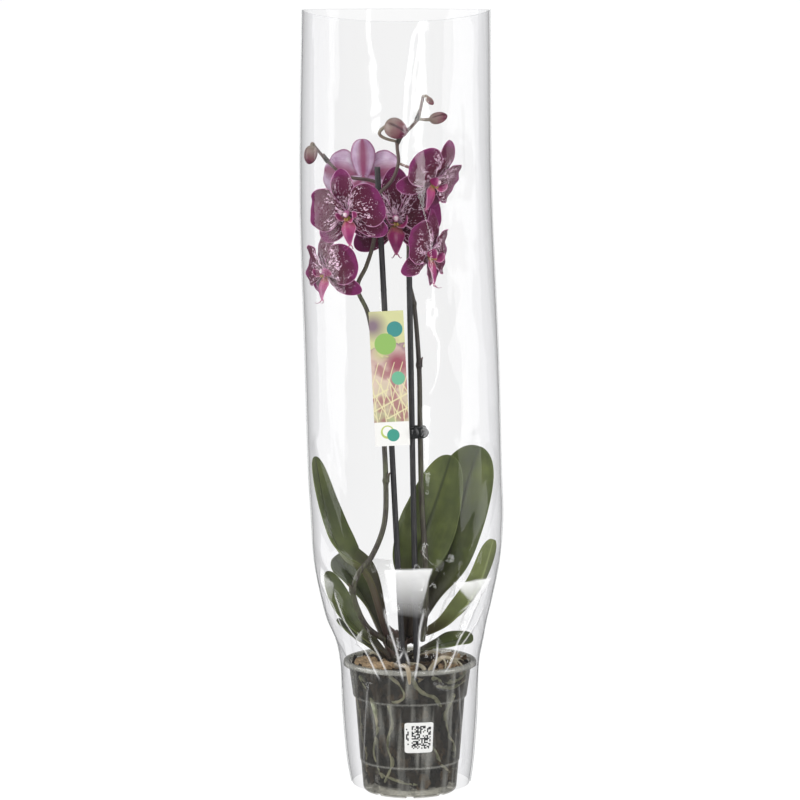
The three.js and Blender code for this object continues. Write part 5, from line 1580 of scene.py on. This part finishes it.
# ---------------------------------------------------------------- film sleeve
# (height, half-width, middle, half-depth) of the sleeve in millimetres, from its hem to its mouth.
SLEEVE = [
    (7, 53, 1, 54), (27, 56.2, 0.5, 58.7), (75, 60.1, 0, 64.6), (117, 61.6, -0.3, 66.6),
    (138, 65.6, -0.5, 66.6), (156, 71.1, -2.7, 63.6), (174, 75.6, -3, 63), (210, 82.6, -2.9, 63),
    (250, 85.5, -2.7, 63), (290, 86, -4.5, 63), (400, 86, -7.6, 63), (540, 84.6, -12.6, 63),
    (704, 82.5, -12.5, 60),
]
# How far a panel's relief stands out: long flutes, the crumple at the pot's rim and slack above it.
FLUTE, CRUMPLE, SLACK = 0.9 * MM, 5.5 * MM, 2.0 * MM
MOUTH_DIP = 9 * MM  # how much lower the front panel's cut edge hangs in its middle
WELD_FIN = 1.6 * MM
# Creases and flaps are placed by their share across a panel, and this many millimetres stand for all of it.
PANEL_SPAN = 200.0


def faceted(across, up, seed, columns, rows):
    """Crumpled relief from 0 to 1: random heights on a lattice, joined by flat triangles."""
    draw = np.random.default_rng(seed)
    knots = draw.uniform(0, 1, (rows + 2, columns + 2))
    wander = 0.35  # how far the lattice's lines stray, in its own steps
    x = np.clip(across, 0, 1) * columns + wander * waves(across * columns, up * rows, seed + 1, 4, 2.6)
    y = np.clip(up, 0, 1) * rows + wander * waves(up * rows, across * columns, seed + 2, 4, 2.6)
    x, y = np.clip(x, 0, columns - 1e-6), np.clip(y, 0, rows - 1e-6)
    i, j = x.astype(int), y.astype(int)
    a, b = x - i, y - j
    near, right, above, far = knots[j, i], knots[j, i + 1], knots[j + 1, i], knots[j + 1, i + 1]
    lower = near + a * (right - near) + b * (above - near)
    upper = far + (1 - a) * (above - far) + (1 - b) * (right - far)
    return np.where(a + b < 1, lower, upper)


def crease(across, height, start, end, lift, width):
    """A sharp ridge along a line from start to end, (share across, height in mm), as its height in metres and
    its whiteness, partly creased film and partly a painted highlight along the ridge: it falls off straight
    on both sides and fades at its ends."""
    start, end = (np.array(point) * (PANEL_SPAN, 1) for point in (start, end))
    along = unit(end - start)
    x, y = across * PANEL_SPAN - start[0], height / MM - start[1]
    run = x * along[0] + y * along[1]
    away = np.abs(x * along[1] - y * along[0])
    fade = smooth(run, -2, 9) * smooth(np.linalg.norm(end - start) - run, -2, 9)
    # Whiteness along the ridge: partly creased film, partly painted highlight.
    white = 0.5 * np.clip(1.4 - away / 0.9, 0, 1) * fade * smooth(8 / width, 0.8, 1.4)
    return lift * MM * np.clip(1 - away / width, 0, 1) * fade, white


def flap(across, height, corners, lift, white):
    """A flap folded over, inside its corners (share across, height in mm, anticlockwise): it leans
    back towards its top and is whitest there. As its height in metres and its whiteness, which is partly
    the doubled film and partly a painted highlight."""
    x, y = np.broadcast_arrays(across * PANEL_SPAN, height / MM)
    border = np.array(corners) * (PANEL_SPAN, 1)
    inside = np.full(x.shape, 1e3)
    for (ax, ay), (bx, by) in zip(border, np.roll(border, -1, axis=0)):
        length = math.hypot(bx - ax, by - ay)
        inside = np.minimum(inside, ((bx - ax) * (y - ay) - (by - ay) * (x - ax)) / length)
    low, high = border[:, 1].min(), border[:, 1].max()
    up = np.clip((y - low) / (high - low), 0, 1)
    # The whiteness is strongest at the flap's top: painted highlight over the doubled film.
    return lift * MM * (1 - up) * np.clip(inside / 3, 0, 1), white * up * np.clip(inside / 1.2, 0, 1)


# Ridges of the film: start and end as (share across, height in mm), lift and half-width in mm.
FRONT_CREASES = (
    ((0.80, 700), (0.84, 500), 2.2, 16), ((0.84, 500), (0.93, 350), 1.8, 14),
    ((0.26, 700), (0.21, 420), 1.6, 18), ((0.52, 700), (0.47, 560), 1.2, 12),
    ((0.62, 420), (0.78, 330), 1.6, 20), ((0.58, 360), (0.74, 470), 1.2, 16),
    ((0.14, 330), (0.36, 190), 2.6, 12), ((0.90, 300), (0.60, 180), 2.6, 12),
    ((0.30, 200), (0.55, 215), 3.0, 10), ((0.55, 215), (0.78, 195), 3.0, 10),
    ((0.20, 190), (0.36, 112), 2.6, 6), ((0.80, 190), (0.66, 118), 2.6, 5),
    ((0.42, 178), (0.47, 112), 2.0, 5), ((0.56, 178), (0.52, 112), 2.0, 5),
    ((0.30, 108), (0.24, 30), 1.4, 8), ((0.74, 108), (0.80, 26), 1.4, 8),
    ((0.44, 128), (0.48, 142), 1.2, 4), ((0.48, 142), (0.50, 126), 1.2, 4),
    ((0.44, 128), (0.50, 126), 1.0, 4), ((0.86, 175), (0.70, 132), 1.6, 5),
    ((0.12, 210), (0.22, 150), 1.8, 6), ((0.70, 172), (0.84, 196), 1.6, 5),
    ((0.34, 150), (0.40, 118), 1.2, 4), ((0.62, 150), (0.60, 118), 1.2, 4),
)
BACK_CREASES = (
    ((0.25, 700), (0.30, 480), 2.0, 16), ((0.66, 700), (0.60, 430), 1.8, 16),
    ((0.45, 420), (0.62, 300), 1.8, 18), ((0.12, 320), (0.34, 190), 2.6, 12),
    ((0.88, 310), (0.64, 190), 2.6, 12), ((0.32, 190), (0.42, 116), 2.4, 6),
    ((0.70, 190), (0.58, 116), 2.4, 6), ((0.28, 104), (0.22, 26), 1.4, 8),
    ((0.72, 104), (0.78, 26), 1.4, 8), ((0.48, 170), (0.52, 120), 1.6, 5),
    ((0.20, 180), (0.30, 124), 1.6, 5), ((0.80, 180), (0.72, 124), 1.6, 5),
)
# Flaps of the film: corners as (share across, height in mm), lift in mm and whiteness, partly doubled film
# and partly painted highlight.
FRONT_FOLDS = (
    (((0.44, 172), (0.55, 168), (0.585, 214), (0.425, 213)), 2.5, 0.828),
    (((0.78, 172), (0.885, 199), (0.65, 201)), 3.0, 0.874),
    (((0.10, 168), (0.15, 160), (0.21, 196), (0.12, 205)), 4.0, 0.322),
    (((0.25, 142), (0.30, 138), (0.32, 158)), 3.0, 0.552),
)
BACK_FOLDS = (
    (((0.30, 165), (0.42, 160), (0.45, 200), (0.31, 205)), 5.0, 0.46),
    (((0.62, 160), (0.70, 168), (0.68, 198)), 4.0, 0.46),
)


def sleeve_surface(facing, creases, folds, seed):
    """One film panel and its whiteness, held as layers: partly the layers it lies in and partly a painted
    highlight on its creases and flaps. Half an ellipse at every height from weld to weld, fluted, creased,
    folded and, where it is gathered round the pot's rim, crumpled into flat facets. Its weld fins stand out
    at each side."""
    rows, columns, fin_columns = 400, 240, 2
    along = np.linspace(0, 1, rows + 1)
    height, half, middle, depth = (curve_through(SLEEVE, along) * MM).T[:, :, None]
    mouth = SLEEVE[-1][0] * MM
    across = np.linspace(0, 1, columns + 1)[None, :]
    angle = facing * (1 - across) * np.pi
    x = middle + half * np.cos(angle)
    y = depth * np.sin(angle) + facing * FILM_GAP
    held = np.sin(across * np.pi) ** 0.5
    flute = FLUTE * waves(across * 9, height / MM / 260, seed, 6, 1.5)
    gather = smooth(height, 70 * MM, 120 * MM) * (1 - smooth(height, 190 * MM, 260 * MM))
    up_gather = (height - 60 * MM) / (200 * MM)
    crumple = CRUMPLE * gather * faceted(across, up_gather, seed + 5, columns=15, rows=12)
    loose = smooth(height, 200 * MM, 300 * MM)
    slack = SLACK * loose * faceted(across, height / mouth, seed + 9, columns=7, rows=9)
    shift = (flute + crumple + slack) * held
    layers = 0 * shift
    # Creases and flaps lift the film and whiten it: partly layered film, partly painted highlight.
    for relief, given in ((crease, creases), (flap, folds)):
        for each in given:
            lift, white = relief(across, height, *each)
            shift = shift + lift * held
            layers = np.maximum(layers, white)
    dip = MOUTH_DIP * held**3 * smooth(height, mouth - 64 * MM, mouth) if facing < 0 else 0
    points = np.stack([x, y, height - dip + 0 * x], -1) + spokes(angle) * shift[..., None]
    out = np.linspace(WELD_FIN, WELD_FIN / fin_columns, fin_columns)[None, :, None] * (1, 0, 0)
    points = np.concatenate([points[:, :1] - out, points, points[:, -1:] + out[:, ::-1]], 1)
    return points, np.pad(layers, ((0, 0), (fin_columns, fin_columns)), constant_values=0.12)


def make_sleeve(film, bead):
    """The two panels, their welds and the cut edge at the mouth, as one open-ended bag."""
    panels = (("front", -1, FRONT_CREASES, FRONT_FOLDS, 31), ("back", 1, BACK_CREASES, BACK_FOLDS, 57))
    for name, facing, creases, folds, seed in panels:
        points, layers = sleeve_surface(facing, creases, folds, seed)
        outside = np.s_[:, ::-facing]
        # The layers value carries the film's whiteness: partly its layers, partly painted highlight.
        sheet = piece(f"film_{name}", [patch(points[outside], layers=layers[outside])], [film],
                      [f"sleeve_{name}"], sharp=8)
        beads = [swept(points[-1], 0.16 * MM, 6, (0, 0, 1))]
        if facing < 0:
            beads += [swept(points[::4, column], 0.3 * MM, 6, (0, 1, 0)) for column in (1, -2)]
        piece(f"film_{name}_edges", beads, [bead])


# ---------------------------------------------------------------- assembly
make_camera()
make_studio()

make_pot(clear_polypropylene())
make_label(label_paper(LABEL_SIZE), LABEL_SIZE)
bark_look = pine_bark()
make_bark(bark_look)
for chip_seed, (chip_name, chip_turn) in enumerate(CHIP_TURNS.items(), 3):
    make_chip(chip_name, bark_look, chip_turn, chip_seed)
make_roots(root_velamen())
make_stakes(dyed_bamboo())
leaf_top = leaf_cuticle("leaf_cuticle", "#4d572a", "#3a4320", "#667037", "#2a3119", "#3d272b")
leaf_under = leaf_cuticle("leaf_underside", "#5b6432", "#4a5329", "#727c42", "#8f9862", "#4b2a34")
make_leaves(leaf_top, leaf_under)
stem_look = stem_skin()
make_crown(stem_look)
make_spike("flower_spike_left", LEFT_SPIKE, (3, 7, 10, 17, 19), 2.6, 1.35, stem_look)
make_spike("flower_spike_right", RIGHT_SPIKE, (2, 5, 6, 9, 12, 13), 2.7, 1.3, stem_look)
bud_look = bud_skin()
for bud_name, bud in BUDS.items():
    make_bud(bud_name, *bud, bud_look)
flower_looks = {"face": petal_face(), "back": petal_back(), "lip": lip_flesh(), "column": column_flesh()}
for flower_name, flower in FLOWERS.items():
    make_flower(flower_name, *flower, flower_looks)
clip_look, spring_look = black_polystyrene(), spring_steel()
make_clip("clip_low", RIGHT_STAKE, beside_stake(RIGHT_STAKE, 215, 25, 1.6), clip_look, spring_look)
make_clip("clip_high", LEFT_STAKE, beside_stake(LEFT_STAKE, 400, 200), clip_look, spring_look)
make_tag(printed_card(TAG_SIZE), TAG_SIZE)
make_sleeve(packing_film(), welded_film())
